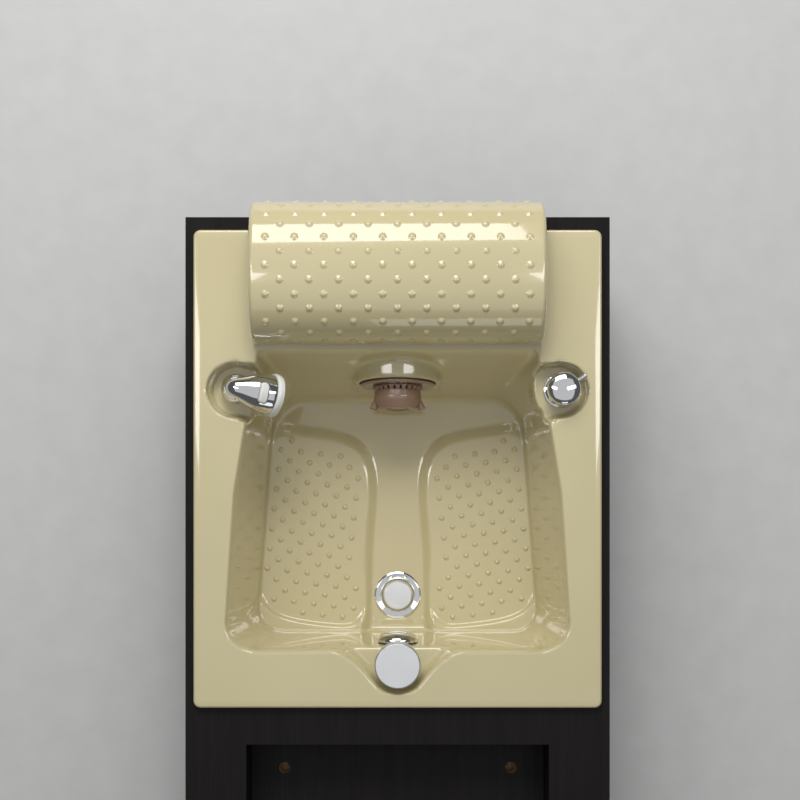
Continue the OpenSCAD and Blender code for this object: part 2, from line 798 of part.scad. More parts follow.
module waste_pipe() color(white_plastic) in_tub() translate([waste_x, drain_y, waste_z]) {
    run_x = -waste_x - trap_r - 28 - seam;
    run_z = waste_z - waste_end;
    difference() {
        union() {
            elbow(waste_r, run_x, run_z - spigot_len - 3);
            translate([0, 0, spigot_len - run_z])
                cylinder(r1 = waste_r - spigot_step, r2 = waste_r, h = 3);
            translate([0, 0, -run_z]) cylinder(r = waste_r - spigot_step, h = spigot_len);
        }
        elbow(waste_r - waste_wall, run_x + cut, run_z + cut);
    }
}

overflow_skirt = 3;
overflow_dome = 13;
overflow_seat = mouth_rear + rear_run * overflow_drop / basin_depth;

module overflow_cap() color(chrome) in_tub()
    translate([0, overflow_seat + 1, -overflow_drop]) rotate([-90, 0, 0]) {
        rotate_extrude() polygon(concat(
            [[overflow_r - 2.5, 0], [overflow_r, 0]],
            [for (a = [0:10:80]) [overflow_r * cos(a), overflow_skirt + overflow_dome * sin(a)]],
            [[0, overflow_skirt + overflow_dome], [0, overflow_dome + 0.5]],
            [for (a = [80:-10:0])
                [(overflow_r - 2.5) * cos(a), overflow_skirt + (overflow_dome - 2.5) * sin(a)]]
        ));
        translate([0, 0, -12]) ring(overflow_bore_r - fit, overflow_bore_r - 2.5, 12);
        for (turn = [0, 90]) rotate([0, 0, turn])
            translate([-overflow_bore_r + 2, -1, -4]) cube([2 * overflow_bore_r - 4, 2, 18]);
    }

module overflow_elbow() color(white_plastic) in_tub()
    translate([0, overflow_back, -overflow_drop]) rotate([0, 0, 90]) {
        run = overflow_seat - overflow_back;
        difference() {
            union() {
                elbow(overflow_tube_r, run, 34);
                translate([run - shell_t - 5, 0, 0]) rotate([0, 90, 0])
                    cylinder(r = overflow_tube_r + 8, h = 4);
            }
            elbow(overflow_bore_r, run + cut, 34 + cut);
        }
    }

module overflow_pipe() color(white_plastic) in_tub()
    translate([0, overflow_back, overflow_port_z]) difference() {
        union() {
            sphere(r = overflow_pipe_r);
            cylinder(r = overflow_pipe_r, h = pipe_rise);
            rotate([-90, 0, 0]) cylinder(r = overflow_pipe_r, h = pipe_reach);
        }
        sphere(r = overflow_pipe_r - overflow_pipe_wall);
        cylinder(r = overflow_pipe_r - overflow_pipe_wall, h = pipe_rise + cut);
        rotate([-90, 0, 0]) cylinder(r = overflow_pipe_r - overflow_pipe_wall, h = pipe_reach + cut);
    }
pipe_rise = -overflow_drop - 20 - overflow_port_z;
pipe_reach = drain_y - trap_r - overflow_back - 2;

module knob_bushing() color(chrome) in_tub() translate([0, knob_y, 0]) difference() {
    union() {
        translate([0, 0, -shelf_depth]) cylinder(r = 20, h = stack_t);
        translate([0, 0, knob_nut_z - 1]) cylinder(r = shank_r, h = -shelf_depth - knob_nut_z + 1);
    }
    translate([0, 0, knob_nut_z - 1 - cut])
        cylinder(r = knob_shaft_r + fit, h = -knob_nut_z + 10);
}

knob_head_h = 20;
pulley_r = 12;
pulley_z = knob_nut_z - 6;

module drain_knob() color(satin) in_tub() translate([0, knob_y, 0]) {
    translate([0, 0, knob_rise - knob_head_h]) cylinder(r = knob_r, h = knob_head_h - 2);
    translate([0, 0, knob_rise - 2]) cylinder(r1 = knob_r, r2 = knob_r - 2, h = 2);
    translate([0, 0, -shelf_depth + stack_t + seam])
        cylinder(r = 19, h = shelf_depth - stack_t - seam + knob_rise - knob_head_h);
    translate([0, 0, pulley_z]) cylinder(r = knob_shaft_r, h = -pulley_z);
    translate([0, 0, pulley_z]) cylinder(r = pulley_r, h = 4.5);
}

cable_r = 2.5;
cable_end = [(trap_r + seam) * cos(-40), drain_y + (trap_r + seam) * sin(-40), trap_top - 30];
cable_route = [
    [pulley_r + 4, knob_y + 8, pulley_z + 2], [34, knob_y + 6, pulley_z], [50, knob_y, -82],
    [56, knob_y - 4, -140], [58, knob_y + 2, -196], cable_end + [22, -20, 4], cable_end
];

module control_cable() color(rubber) in_tub() route_tube(cable_route, cable_r, 2, 8);

module shank_nuts() color(brass) in_tub()
    for (place = [[mixer_x, mixer_y], [-pocket_x, pocket_y], [0, knob_y]])
        translate([place[0], place[1], under_shelf - nut_t]) difference() {
            cylinder(r = shank_r + 5, h = nut_t, $fn = 6);
            translate([0, 0, -cut]) cylinder(r = shank_r + fit, h = nut_t + 2 * cut);
        }

// Mixer tap and its supplies

module at_mixer() {
    in_tub() translate([mixer_x, mixer_y, 0]) children();
}

module mixer_base() color(chrome) at_mixer() difference() {
    union() {
        translate([0, 0, -shelf_depth]) cylinder(r = mixer_r + 2, h = 4);
        translate([0, 0, -shelf_depth]) cylinder(r = mixer_r - 2, h = shelf_depth + mixer_neck_z);
        translate([0, 0, shank_end]) cylinder(r = shank_r, h = -shank_end - shelf_depth);
    }
    translate([0, 0, mixer_neck_z - 14]) cylinder(r = 10 + fit, h = 14 + cut);
}

module mixer_stem() color(satin) at_mixer() {
    translate([0, 0, mixer_neck_z - 13]) cylinder(r = 10, h = ball_z - mixer_neck_z + 13);
    translate([0, 0, ball_z]) sphere(r = ball_r);
}

module mixer_handle() color(chrome) at_mixer() difference() {
    rotate_extrude() polygon(concat(
        [[0, mixer_skirt_z], [mixer_r - 1, mixer_skirt_z], [mixer_r, mixer_skirt_z + 1],
         [mixer_r, mixer_rise - 9]],
        [for (a = [0:10:80]) [mixer_r * cos(a), mixer_rise - 9 + 9 * sin(a)]],
        [[0, mixer_rise]]
    ));
    translate([0, 0, ball_z]) sphere(r = ball_r + seam / 3);
    translate([0, 0, mixer_skirt_z - cut])
        cylinder(r = ball_r + seam / 3, h = ball_z - mixer_skirt_z + cut);
    pin_place() cylinder(r = pin_r + fit, h = 40);
}

pin_z = 13;

module pin_place() {
    translate([0, 0, pin_z]) rotate([0, 0, mixer_pin_turn]) rotate([0, 80, 0])
        translate([0, 0, mixer_r - 4]) children();
}

module mixer_pin() color(chrome) at_mixer() pin_place() {
    cylinder(r = pin_r, h = 17);
    translate([0, 0, 16]) sphere(r = pin_r - fit);
}

inlet_y = mouth_front + 23;
inlet_x = [inside_half - 97, inside_half - 67];
inlet_plate_t = 3;
inlet_nut_h = 12;
inlet_r = 10.4;
inlet_top = rail_top + inlet_plate_t + inlet_nut_h - rim_z;
hot_route = [
    [mixer_x - 5.5, mixer_y + 3, hose_start], [mixer_x - 5.5, mixer_y + 3, shank_end - 18],
    [mixer_x - 12, mixer_y + 20, -180], [mixer_x - 28, inlet_y - 22, -238],
    [inlet_x[0], inlet_y, inlet_top + 20], [inlet_x[0], inlet_y, inlet_top + seam]
];
cold_route = [
    [mixer_x + 5.5, mixer_y + 3, hose_start], [mixer_x + 5.5, mixer_y + 3, shank_end - 18],
    [mixer_x + 9, mixer_y + 22, -180], [mixer_x - 1, inlet_y - 20, -238],
    [inlet_x[1], inlet_y, inlet_top + 20], [inlet_x[1], inlet_y, inlet_top + seam]
];

module hot_hose() color(satin) in_tub() route_tube(hot_route, hose_r, 3, 8);

module cold_hose() color(satin) in_tub() route_tube(cold_route, hose_r, 3, 8);

inlet_neck_r = 11;
inlet_hex_r = 13.5;
inlet_thread = 20;
inlet_relief = 1.5;
inlet_end = foot_gap + 4;

module inlet_plate() color(satin) difference() {
    translate([inlet_x[0] - 25, tub_y + inlet_y - 30, rail_top])
        cube([inside_half - inlet_x[0] + 25, 60, inlet_plate_t]);
    for (x = inlet_x) translate([x, tub_y + inlet_y, rail_top - cut])
        cylinder(r = inlet_neck_r + fit, h = inlet_plate_t + 2 * cut);
}

// A threaded end that the supply's nut screws on, a relief groove, and a hexagon on each side
// of the plate
module inlet_fittings() color(brass) for (x = inlet_x) translate([x, tub_y + inlet_y, 0]) {
    groove_z = inlet_end + inlet_thread;
    hex_z = groove_z + inlet_relief;
    translate([0, 0, inlet_end]) cylinder(r = inlet_r, h = inlet_thread);
    translate([0, 0, groove_z - cut]) cylinder(r = inlet_r - 1, h = inlet_relief + 2 * cut);
    translate([0, 0, hex_z]) cylinder(r = inlet_hex_r, h = rail_top - hex_z, $fn = 6);
    translate([0, 0, rail_top - cut]) cylinder(r = inlet_neck_r, h = inlet_plate_t + 2 * cut);
    translate([0, 0, rail_top + inlet_plate_t])
        cylinder(r = inlet_hex_r, h = inlet_nut_h, $fn = 6);
}

// Sprayer

module at_sprayer() {
    in_tub() translate([-pocket_x, pocket_y, 0]) children();
}

sprayer_base_top = -12;

module sprayer_base() color(chrome) at_sprayer() difference() {
    union() {
        translate([0, 0, -shelf_depth]) cylinder(r = 21.75, h = 5);
        translate([0, 0, -shelf_depth + 5])
            cylinder(r1 = 21.75, r2 = 17, h = shelf_depth - 5 + sprayer_base_top);
        translate([0, 0, -70]) cylinder(r = shank_r, h = 70 - shelf_depth);
    }
    translate([0, 0, -70 - cut]) cylinder(r = sprayer_tube_r + 2 + fit, h = 80);
    translate([0, 0, sprayer_base_top - 14]) cylinder(r = sprayer_neck_r + fit, h = 14 + cut);
}

// The hose end and its swivel, which lift with the head
module sprayer_tail() color(satin) at_sprayer() {
    translate([0, 0, sprayer_tube_end]) cylinder(r = sprayer_tube_r, h = -sprayer_tube_end - 26);
    translate([0, 0, -66]) cylinder(r = sprayer_tube_r + 2, h = 46);
}

module sprayer_body() color(chrome) {
    difference() {
        union() {
            at_sprayer() translate([0, 0, sprayer_base_top - 13.5])
                cylinder(r = sprayer_neck_r, h = sprayer_elbow_z - sprayer_base_top + 13.5);
            at_sprayer_head() {
                sphere(r = sprayer_neck_r + 1.5);
                rotate([0, 90, 0]) cylinder(r1 = sprayer_neck_r, r2 = sprayer_r - 3,
                                            h = sprayer_head_len - 8);
            }
        }
        at_sprayer() translate([0, 0, -40]) cylinder(r = sprayer_tube_r + 2 + fit, h = 20 + fit);
        at_sprayer_head() {
            button_shape(fit, cut);
            translate([sprayer_head_len - 14, 0, 0]) rotate([0, 90, 0])
                cylinder(r = sprayer_r - 6, h = 10);
        }
    }
}

module button_shape(grow, above) {
    translate([button_at - button_w / 2 - grow, -button_len / 2 - grow, 14 - grow])
        cube([button_w + 2 * grow, button_len + 2 * grow, 10 + button_h + grow + above]);
}

module sprayer_button() color(white_plastic) at_sprayer_head()
    translate([button_at - button_w / 2, -button_len / 2, 17])
        cube([button_w, button_len, 6 + button_h]);

module sprayer_collar() color(white_plastic) at_sprayer_head()
    translate([sprayer_head_len - 8, 0, 0]) rotate([0, 90, 0]) ring(sprayer_r, sprayer_r - 4, 10);

module sprayer_face() color(grey_plastic) at_sprayer_head()
    translate([sprayer_head_len - 8, 0, 0]) rotate([0, 90, 0])
        cylinder(r = sprayer_r - 4 - fit, h = 7);

hose_y = mouth_front - 83;
sprayer_route = [
    [mixer_x, mixer_y - 6, hose_start], [mixer_x, mixer_y - 6, shank_end - 18],
    [mixer_x - 7, hose_y + 8, -176], [mixer_x - 37, hose_y + 2, under_floor - 20],
    [110, hose_y, under_floor - 38], [0, hose_y, under_floor - 40],
    [-110, hose_y, under_floor - 38], [34 - pocket_x, hose_y + 8, under_floor - 26],
    [-pocket_x, pocket_y, sprayer_tube_end - 34], [-pocket_x, pocket_y, sprayer_tube_end - seam]
];

module sprayer_hose() color(rubber) in_tub() route_tube(sprayer_route, hose_r, 2, 8);

// Jet

module jet_gasket() color(rubber) at_jet() ring(jet_flange_r + 1, jet_tail_r + fit, jet_gasket_t);

module jet_flange() color(jet_plastic) at_jet() difference() {
    union() {
        translate([0, 0, jet_gasket_t]) cylinder(r = jet_flange_r, h = jet_flange_t);
        translate([0, 0, jet_tail_end]) cylinder(r = jet_tail_r, h = jet_gasket_t - jet_tail_end);
    }
    translate([0, 0, jet_tail_end - cut])
        cylinder(r = jet_shaft_r + fit, h = jet_face - jet_tail_end + 2 * cut);
}

module jet_nut() color(grey_plastic) at_jet() translate([0, 0, -shell_t - nut_t]) difference() {
    cylinder(r = jet_tail_r + 12, h = nut_t, $fn = 8);
    translate([0, 0, -cut]) cylinder(r = jet_tail_r + fit, h = nut_t + 2 * cut);
}

module jet_motor() color(grey_plastic) at_jet() difference() {
    union() {
        translate([0, 0, jet_tail_end - motor_len]) cylinder(r = motor_r, h = motor_len - 14);
        translate([0, 0, jet_tail_end - 14]) cylinder(r = motor_r - 8, h = 14);
    }
    translate([0, 0, jet_tail_end - 30]) cylinder(r = jet_shaft_r + fit, h = 30 + cut);
}

impeller_z = jet_face + 5;
impeller_hub_r = 8;
impeller_hub_h = 13;
impeller_r = 21;
blade_count = 6;
blade_t = 2;
shaft_end = jet_tail_end - 28;

module jet_impeller() color(white_plastic) at_jet() {
    translate([0, 0, shaft_end]) cylinder(r = jet_shaft_r, h = impeller_z + 2 - shaft_end);
    translate([0, 0, impeller_z]) cylinder(r = impeller_hub_r, h = impeller_hub_h);
    for (i = [0:blade_count - 1]) rotate([0, 0, i * 360 / blade_count])
        translate([impeller_hub_r - 2, -blade_t / 2, impeller_z + 1])
            cube([impeller_r - impeller_hub_r + 2, blade_t, impeller_hub_h - 2]);
}

jet_cap_wall = 2.5;
jet_cap_front_r = jet_cap_r - 8;

module jet_cap() color(jet_plastic) at_jet() difference() {
    union() {
        translate([0, 0, jet_face + seam]) {
            rotate_extrude() polygon(concat(
                [[0, 0], [jet_cap_r, 0], [jet_cap_r, 5]],
                [for (a = [0:15:75])
                    [jet_cap_front_r - 3 + 6 * cos(a), jet_cap_h - 6 + 6 * sin(a)]],
                [[0, jet_cap_h]]
            ));
        }
        nozzle_places() translate([0, 0, -12]) cylinder(r1 = 4, r2 = 6.5, h = 20);
    }
    translate([0, 0, jet_face + seam - cut]) {
        cylinder(r = jet_cap_r - 9, h = jet_cap_h - 9 + cut);
        cylinder(r = jet_cap_front_r - 8, h = jet_cap_h - jet_cap_wall + cut);
    }
    for (turn = [0:60:300]) rotate([0, 0, turn]) translate([13, 0, jet_cap_h - 4])
        cylinder(r = 3, h = 20);
    nozzle_places() translate([0, 0, -16]) cylinder(r = 2.6, h = 30);
    nozzle_places() translate([0, 0, 0]) cylinder(r1 = 2.6, r2 = 5.2, h = 8 + fit);
}

module nozzle_places() {
    for (side = [-1, 1]) rotate([0, 0, side > 0 ? 0 : 180])
        translate([jet_cap_r - 1, 0, jet_face + 17]) rotate([0, nozzle_spread, 0]) children();
}

power_box_size = [46, 110, 90];

module power_box() color(grey_plastic)
    translate([-inside_half, tub_y + mouth_front + 29, rail_top + 74]) cube(power_box_size);

deck_panel();
side_panel_left();
side_panel_right();
front_panel();
rear_panel();
bulkhead();
base_rails();
tub_cradle();
recess_floor();
recess_walls();
chair_bearers();
corner_brackets();
levelling_feet();
access_door();
hinge_leaves();
door_leaves();
hinge_pins();
door_pull();
door_catch();
cable_gland();
tub();
footrest();
footrest_buffers();
footrest_bolts();
drain_flange();
drain_gasket();
drain_nut();
drain_plug();
trap();
slip_nut();
waste_pipe();
overflow_cap();
overflow_elbow();
overflow_pipe();
drain_knob();
knob_bushing();
control_cable();
shank_nuts();
mixer_base();
mixer_stem();
mixer_handle();
mixer_pin();
hot_hose();
cold_hose();
inlet_plate();
inlet_fittings();
sprayer_base();
sprayer_tail();
sprayer_body();
sprayer_collar();
sprayer_face();
sprayer_button();
sprayer_hose();
jet_gasket();
jet_flange();
jet_nut();
jet_motor();
jet_impeller();
jet_cap();
power_box();
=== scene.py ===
# %% [markdown]
# # A foot-spa basin unit
#
# The real object is a cream moulded tub let into a dark wood-laminate plinth. Two bumpy foot platforms
# stand in the basin, a pipeless jet is set in its front wall, a mixer tap and a hand sprayer stand in round
# side pockets, and a bumpy saddle-shaped footrest crosses the front.
#
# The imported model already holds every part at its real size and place. This notebook loads it as a fixed
# frame and builds the finish around it. No part of the frame is moved: sizes and places are read from it,
# and what the frame leaves open, such as a rounded edge, is in millimetres next to the shape that uses it.

# %% Load the frame
import json
import math

import bmesh
import bpy
import numpy as np
from mathutils import Matrix, Vector
from mathutils.geometry import convex_hull_2d


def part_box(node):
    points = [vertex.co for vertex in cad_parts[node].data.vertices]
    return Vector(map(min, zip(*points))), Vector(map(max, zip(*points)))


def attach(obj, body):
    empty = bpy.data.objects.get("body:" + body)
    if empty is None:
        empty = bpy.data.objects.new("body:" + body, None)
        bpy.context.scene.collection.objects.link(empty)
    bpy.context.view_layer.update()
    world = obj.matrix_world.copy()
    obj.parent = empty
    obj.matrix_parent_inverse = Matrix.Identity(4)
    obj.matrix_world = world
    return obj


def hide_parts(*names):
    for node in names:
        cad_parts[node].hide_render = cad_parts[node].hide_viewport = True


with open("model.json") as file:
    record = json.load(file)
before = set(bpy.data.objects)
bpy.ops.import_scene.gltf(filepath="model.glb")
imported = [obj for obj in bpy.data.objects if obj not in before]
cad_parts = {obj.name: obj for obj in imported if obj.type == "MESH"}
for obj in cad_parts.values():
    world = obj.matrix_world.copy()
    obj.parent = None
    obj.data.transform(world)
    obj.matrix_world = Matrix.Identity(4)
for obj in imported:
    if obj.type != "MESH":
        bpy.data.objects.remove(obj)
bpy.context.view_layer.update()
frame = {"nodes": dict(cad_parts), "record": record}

# %% [markdown]
# ## Where things are
#
# Everything on the tub is easiest to think of from the top of its rim, in millimetres. One matrix turns such
# a place into the frame's metres, and every new piece is built with it. Its origin is the middle of the rim.

# %% The tub's own frame
MM = 0.001
tub_low, tub_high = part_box("tub")
rim_middle = Vector(((tub_low.x + tub_high.x) / 2, (tub_low.y + tub_high.y) / 2, tub_high.z))
TUB = Matrix.Translation(rim_middle) @ Matrix.Scale(MM, 4)
RIM_HALF_X = (tub_high.x - tub_low.x) / 2 / MM
RIM_HALF_Y = (tub_high.y - tub_low.y) / 2 / MM


def in_tub(node):
    """Lowest corner, highest corner and middle of a frame part, in the tub's millimetres."""
    low, high = (TUB.inverted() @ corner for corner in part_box(node))
    return low, high, (low + high) / 2


print("rim", round(2 * RIM_HALF_X), "by", round(2 * RIM_HALF_Y), "mm, middle", tuple(rim_middle))

# %% [markdown]
# ## The camera
#
# The photograph looks straight down. A lens of 70 mm from 2.2 m above the rim gives the same perspective:
# it shows as much of the basin's walls as the picture does. The picture's middle lies a little nearer the
# footrest than the point under the lens, which a camera does with a small vertical shift.

# %% Camera
LENS = 70.4  # mm
LENS_HEIGHT = 2.2  # metres above the rim
PICTURE_PIXELS = 800
POINT_UNDER_LENS = (399, 465)  # pixel of the photograph that is straight under the lens
UNDER_LENS = Vector((2, 5.5, 0))  # the same point in the tub's millimetres

camera = bpy.data.objects.new("camera", bpy.data.cameras.new("camera"))
bpy.context.scene.collection.objects.link(camera)
camera.data.lens = LENS
camera.data.clip_end = 20
camera.data.shift_x = (PICTURE_PIXELS / 2 - POINT_UNDER_LENS[0]) / PICTURE_PIXELS
camera.data.shift_y = (POINT_UNDER_LENS[1] - PICTURE_PIXELS / 2) / PICTURE_PIXELS
camera.location = TUB @ UNDER_LENS + Vector((0, 0, LENS_HEIGHT))
bpy.context.scene.camera = camera
print("camera at", tuple(round(value, 3) for value in camera.location))

# %% [markdown]
# ## Light and floor
#
# A glossy moulding is drawn by what it mirrors. The bright band along the footrest is the reflection of one
# wide softbox beyond it, and two narrow strips at the sides draw the platforms' edges. The strips only show
# as reflections, so they add no light. A large soft lamp overhead fills the basin, a faint one lights the
# rear, and a smaller one beyond the footrest gives the shadows. That one is hidden from reflections, where it
# would be a second band. The Standard view keeps the cream as light as it was mixed. The floor and the air
# around are plain and pale.

# %% Light and floor


def softbox(name, place, target, width, height, watts):
    """One rectangular lamp at a place, facing a target, both in metres. It is returned."""
    lamp = bpy.data.lights.new(name, "AREA")
    lamp.shape = "RECTANGLE"
    lamp.size = width
    lamp.size_y = height
    lamp.energy = watts
    stand = bpy.data.objects.new(name, lamp)
    stand.location = place
    stand.rotation_euler = (Vector(target) - Vector(place)).to_track_quat("-Z", "Y").to_euler()
    bpy.context.scene.collection.objects.link(stand)
    return stand


softbox("window_softbox", (-0.3, 2.35, 2.1), (0, 0.3, 0.35), 2.0, 1.3, 37)
softbox("overhead_softbox", (0, 0.3, 3.5), (0, 0.3, 0.3), 5.5, 5.5, 46)
key = softbox("key_softbox", (-0.1, 2.3, 2.9), (0, 0.2, 0.3), 1.1, 0.9, 35)
key.visible_glossy = False
softbox("back_softbox", (0.6, -3.2, 1.8), (0, 0, 0.3), 1.6, 1.2, 6)
for side, name in ((-1, "left_strip"), (1, "right_strip")):
    strip = softbox(name, (1.7 * side, 0.7, 3.1), (0, 0.2, 0.2), 0.5, 1.8, 13)
    strip.visible_diffuse = False
bpy.context.scene.view_settings.view_transform = "Standard"

air = bpy.data.worlds.new("studio_air")
air.use_nodes = True
air.node_tree.nodes["Background"].inputs["Color"].default_value = (0.80, 0.82, 0.85, 1)
air.node_tree.nodes["Background"].inputs["Strength"].default_value = 0.12
bpy.context.scene.world = air

FLOOR_SIZE = 14
bm = bmesh.new()
bmesh.ops.create_grid(bm, x_segments=1, y_segments=1, size=FLOOR_SIZE / 2)
floor = bpy.data.objects.new("floor", bpy.data.meshes.new("floor"))
bm.to_mesh(floor.data)
bm.free()
bpy.context.scene.collection.objects.link(floor)

# %% [markdown]
# ## Shader maths
#
# A finish is a small sum: grain times a tint, plus some wear. Written as nodes it takes many lines, so one
# class wraps an output socket and lets Python's own signs add the Math nodes. Any other node comes from its
# node() method: the node's type, its settings, then what goes into its sockets.

# %% Shader maths


class Wire:
    """An output socket of a material's node tree that can be added, multiplied and fed to other nodes."""

    def __init__(self, socket):
        self.socket = socket

    def node(self, kind, settings, sockets, output=0):
        """Adds a node to the same tree and returns one of its outputs."""
        tree = self.socket.id_data
        made = tree.nodes.new("ShaderNode" + kind)
        for name, value in settings.items():
            setattr(made, name, value)
        for name, value in sockets.items():
            if isinstance(value, Wire):
                tree.links.new(value.socket, made.inputs[name])
            else:
                made.inputs[name].default_value = value
        return Wire(made.outputs[output])

    def sum(self, operation, first, second):
        """One Math node on two wires or numbers."""
        return self.node("Math", {"operation": operation}, {0: first, 1: second})

    def __add__(self, other):
        return self.sum("ADD", self, other)

    def __mul__(self, other):
        return self.sum("MULTIPLY", self, other)

    def __rsub__(self, other):
        return self.sum("SUBTRACT", other, self)

    __radd__ = __add__
    __rmul__ = __mul__

    def scaled(self, x, y, z):
        """This vector, stretched along each axis."""
        return self.node("Mapping", {}, {0: self, 3: (x, y, z)})

    def noise(self, scale, detail=2.0, roughness=0.5):
        """Soft random grey from 0 to 1, with patches about 1 / scale metres across."""
        sockets = {"Vector": self, "Scale": scale, "Detail": detail, "Roughness": roughness}
        return self.node("TexNoise", {}, sockets)

    def between(self, low, high):
        """0 below low, 1 above high, and a straight climb between them."""
        return self.node("MapRange", {}, {0: self, 1: low, 2: high})

    def tint(self, first, second):
        """One colour where this is 0, the other where it is 1."""
        return self.node("Mix", {"data_type": "RGBA"}, {0: self, 6: colour(first), 7: colour(second)}, 2)


def colour(value):
    """A colour given as red, green and blue, or as the wire that carries it."""
    return value if isinstance(value, Wire) else (*value, 1)


def finish(name, recipe, **constants):
    """A material. Constants go on the shader's own sockets, and the recipe's wires into what varies.
    The recipe takes the Object coordinates and returns the wires by socket name; "Height" is a bump in mm."""
    material = bpy.data.materials.new(name)
    material.use_nodes = True
    nodes, links = material.node_tree.nodes, material.node_tree.links
    shader = nodes["Principled BSDF"]
    for socket, value in constants.items():
        shader.inputs[socket.replace("_", " ")].default_value = value
    place = Wire(nodes.new("ShaderNodeTexCoord").outputs["Object"])
    for socket, wire in recipe(place).items():
        if socket == "Height":
            socket = "Normal"
            wire = wire.node("Bump", {}, {"Height": wire, "Distance": MM, "Strength": 1.0})
        links.new(wire.socket, shader.inputs[socket])
    return material


FINISHES = {}


def add_finish(slot, recipe, **constants):
    """Makes the finish for one of the record's material slots."""
    FINISHES[slot] = finish(slot, recipe, **constants)


print("shader kit ready")

# %% [markdown]
# ## Cream gelcoat
#
# The tub and footrest are glass-fibre mouldings with a cream gelcoat. It is almost a mirror: what varies is
# very slight, a cloudiness in the colour, a faint orange peel left by the mould, and a little wear in the
# polish. Noise at three scales gives those three things.

# %% Cream gelcoat


def gelcoat(place):
    cloud = place.noise(5, 3)
    peel = place.noise(160, 1)
    wear = place.noise(38, 4, 0.6)
    return {
        "Base Color": cloud.between(0.3, 0.7).tint((0.600, 0.527, 0.300), (0.640, 0.563, 0.330)),
        "Roughness": 0.10 + 0.08 * wear,
        "Height": peel * 0.03,
    }


add_finish("cream_gelcoat", gelcoat, Coat_Weight=1.0, Coat_Roughness=0.03, Coat_IOR=1.6)
print("cream_gelcoat ready")

# %% [markdown]
# ## Espresso laminate
#
# The plinth is boards faced with a dark printed wood grain, open-pored and matt, with bands of the same
# finish on the cut edges. Grain is noise stretched many times along the board. The print has broad soft
# streaks, and the embossed pores are finer and drive the bump and the gloss together. Each board's grain
# runs along its length, so the finish is made twice: along the unit, and across it.

# %% Espresso laminate


def laminate(stretch_x, stretch_y):
    """A recipe for grain that runs along the axis given the small number."""

    def recipe(place):
        stretched = place.scaled(stretch_x, stretch_y, 1)
        streak = stretched.noise(45, 3, 0.55)
        pore = stretched.noise(330, 2, 0.6).between(0.42, 0.66)
        shade = streak.between(0.30, 0.72).tint((0.0085, 0.0072, 0.0070), (0.0130, 0.0110, 0.0105))
        return {
            "Base Color": (pore * 0.4).tint(shade, (0.0062, 0.0054, 0.0053)),
            "Roughness": 0.42 + 0.12 * pore,
            "Height": pore * -0.012,
        }

    return recipe


add_finish("espresso_laminate", laminate(1, 0.03), Specular_IOR_Level=0.12)
grain_across = finish("espresso_laminate_across", laminate(0.03, 1), Specular_IOR_Level=0.12)
print("laminate ready, with the grain along Y or X")

# %% [markdown]
# ## Board and timber
#
# Inside, the unit is plain: particle board with flakes of several browns, and softwood rails with growth
# rings. The flakes are the cells of a Voronoi pattern, each with its own random shade. The rings are a wave
# bent by noise.

# %% Board and timber


def particle_board(place):
    flake = place.node("TexVoronoi", {}, {"Vector": place.scaled(1, 0.6, 1), "Scale": 420.0}, 1)
    grey = flake.node("SeparateColor", {}, {0: flake})
    dust = place.noise(900, 2)
    return {
        "Base Color": grey.tint((0.30, 0.17, 0.075), (0.56, 0.38, 0.20)),
        "Roughness": 0.78 + 0.15 * dust,
        "Height": grey * 0.15 + dust * 0.1,
    }


def softwood(place):
    rings = place.node(
        "TexWave",
        {"bands_direction": "X"},
        {"Vector": place.scaled(1, 0.05, 1), "Scale": 34.0, "Distortion": 5.0, "Detail": 2.0},
        1,
    )
    return {
        "Base Color": rings.tint((0.58, 0.40, 0.21), (0.42, 0.26, 0.12)),
        "Roughness": 0.6 + 0.12 * rings,
        "Height": rings * 0.08,
    }


add_finish("chipboard", particle_board)
add_finish("timber", softwood)
print("board and timber ready")

# %% [markdown]
# ## Metals
#
# The taps are polished chrome, which has almost no colour of its own: only its roughness varies, where
# fingers and water have dulled it. The turning knob is satin, with the fine concentric lines of a lathe.
# Steel parts are zinc plated, with soft blotches, and the unions are machined brass.

# %% Metals


def metal(first, second, gloss, spread, scale=14):
    """A recipe for a metal: two tints in soft blotches, and a roughness that varies with them."""

    def recipe(place):
        blotch = place.noise(scale, 3, 0.6)
        scratch = place.scaled(1, 1, 0.1).noise(700, 1)
        return {
            "Base Color": blotch.between(0.3, 0.7).tint(first, second),
            "Roughness": gloss + spread * blotch,
            "Height": scratch * (0.04 * spread),
        }

    return recipe


def lathe_turned(node):
    """Satin chrome with concentric lines round a frame part's own axis."""
    low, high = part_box(node)
    to_middle = tuple(-(low + high) / 2)

    def recipe(place):
        centred = place.node("Mapping", {}, {0: place, 1: to_middle})
        circles = {"wave_type": "RINGS", "rings_direction": "Z"}
        rings = place.node("TexWave", circles, {0: centred, 1: 900.0, 2: 0.6})
        blotch = place.noise(30, 3)
        return {
            "Base Color": blotch.tint((0.84, 0.85, 0.86), (0.90, 0.91, 0.92)),
            "Roughness": 0.30 + 0.06 * blotch + 0.05 * rings,
            "Height": rings * 0.004,
        }

    return recipe


add_finish("chrome", metal((0.78, 0.79, 0.81), (0.84, 0.85, 0.86), 0.03, 0.05), Metallic=1.0)
add_finish("satin_chrome", lathe_turned("drain_knob"), Metallic=1.0)
add_finish("steel", metal((0.42, 0.43, 0.44), (0.56, 0.57, 0.58), 0.24, 0.22, 40), Metallic=1.0)
add_finish("brass", metal((0.62, 0.43, 0.17), (0.74, 0.53, 0.24), 0.20, 0.16, 30), Metallic=1.0)
print("metals ready")
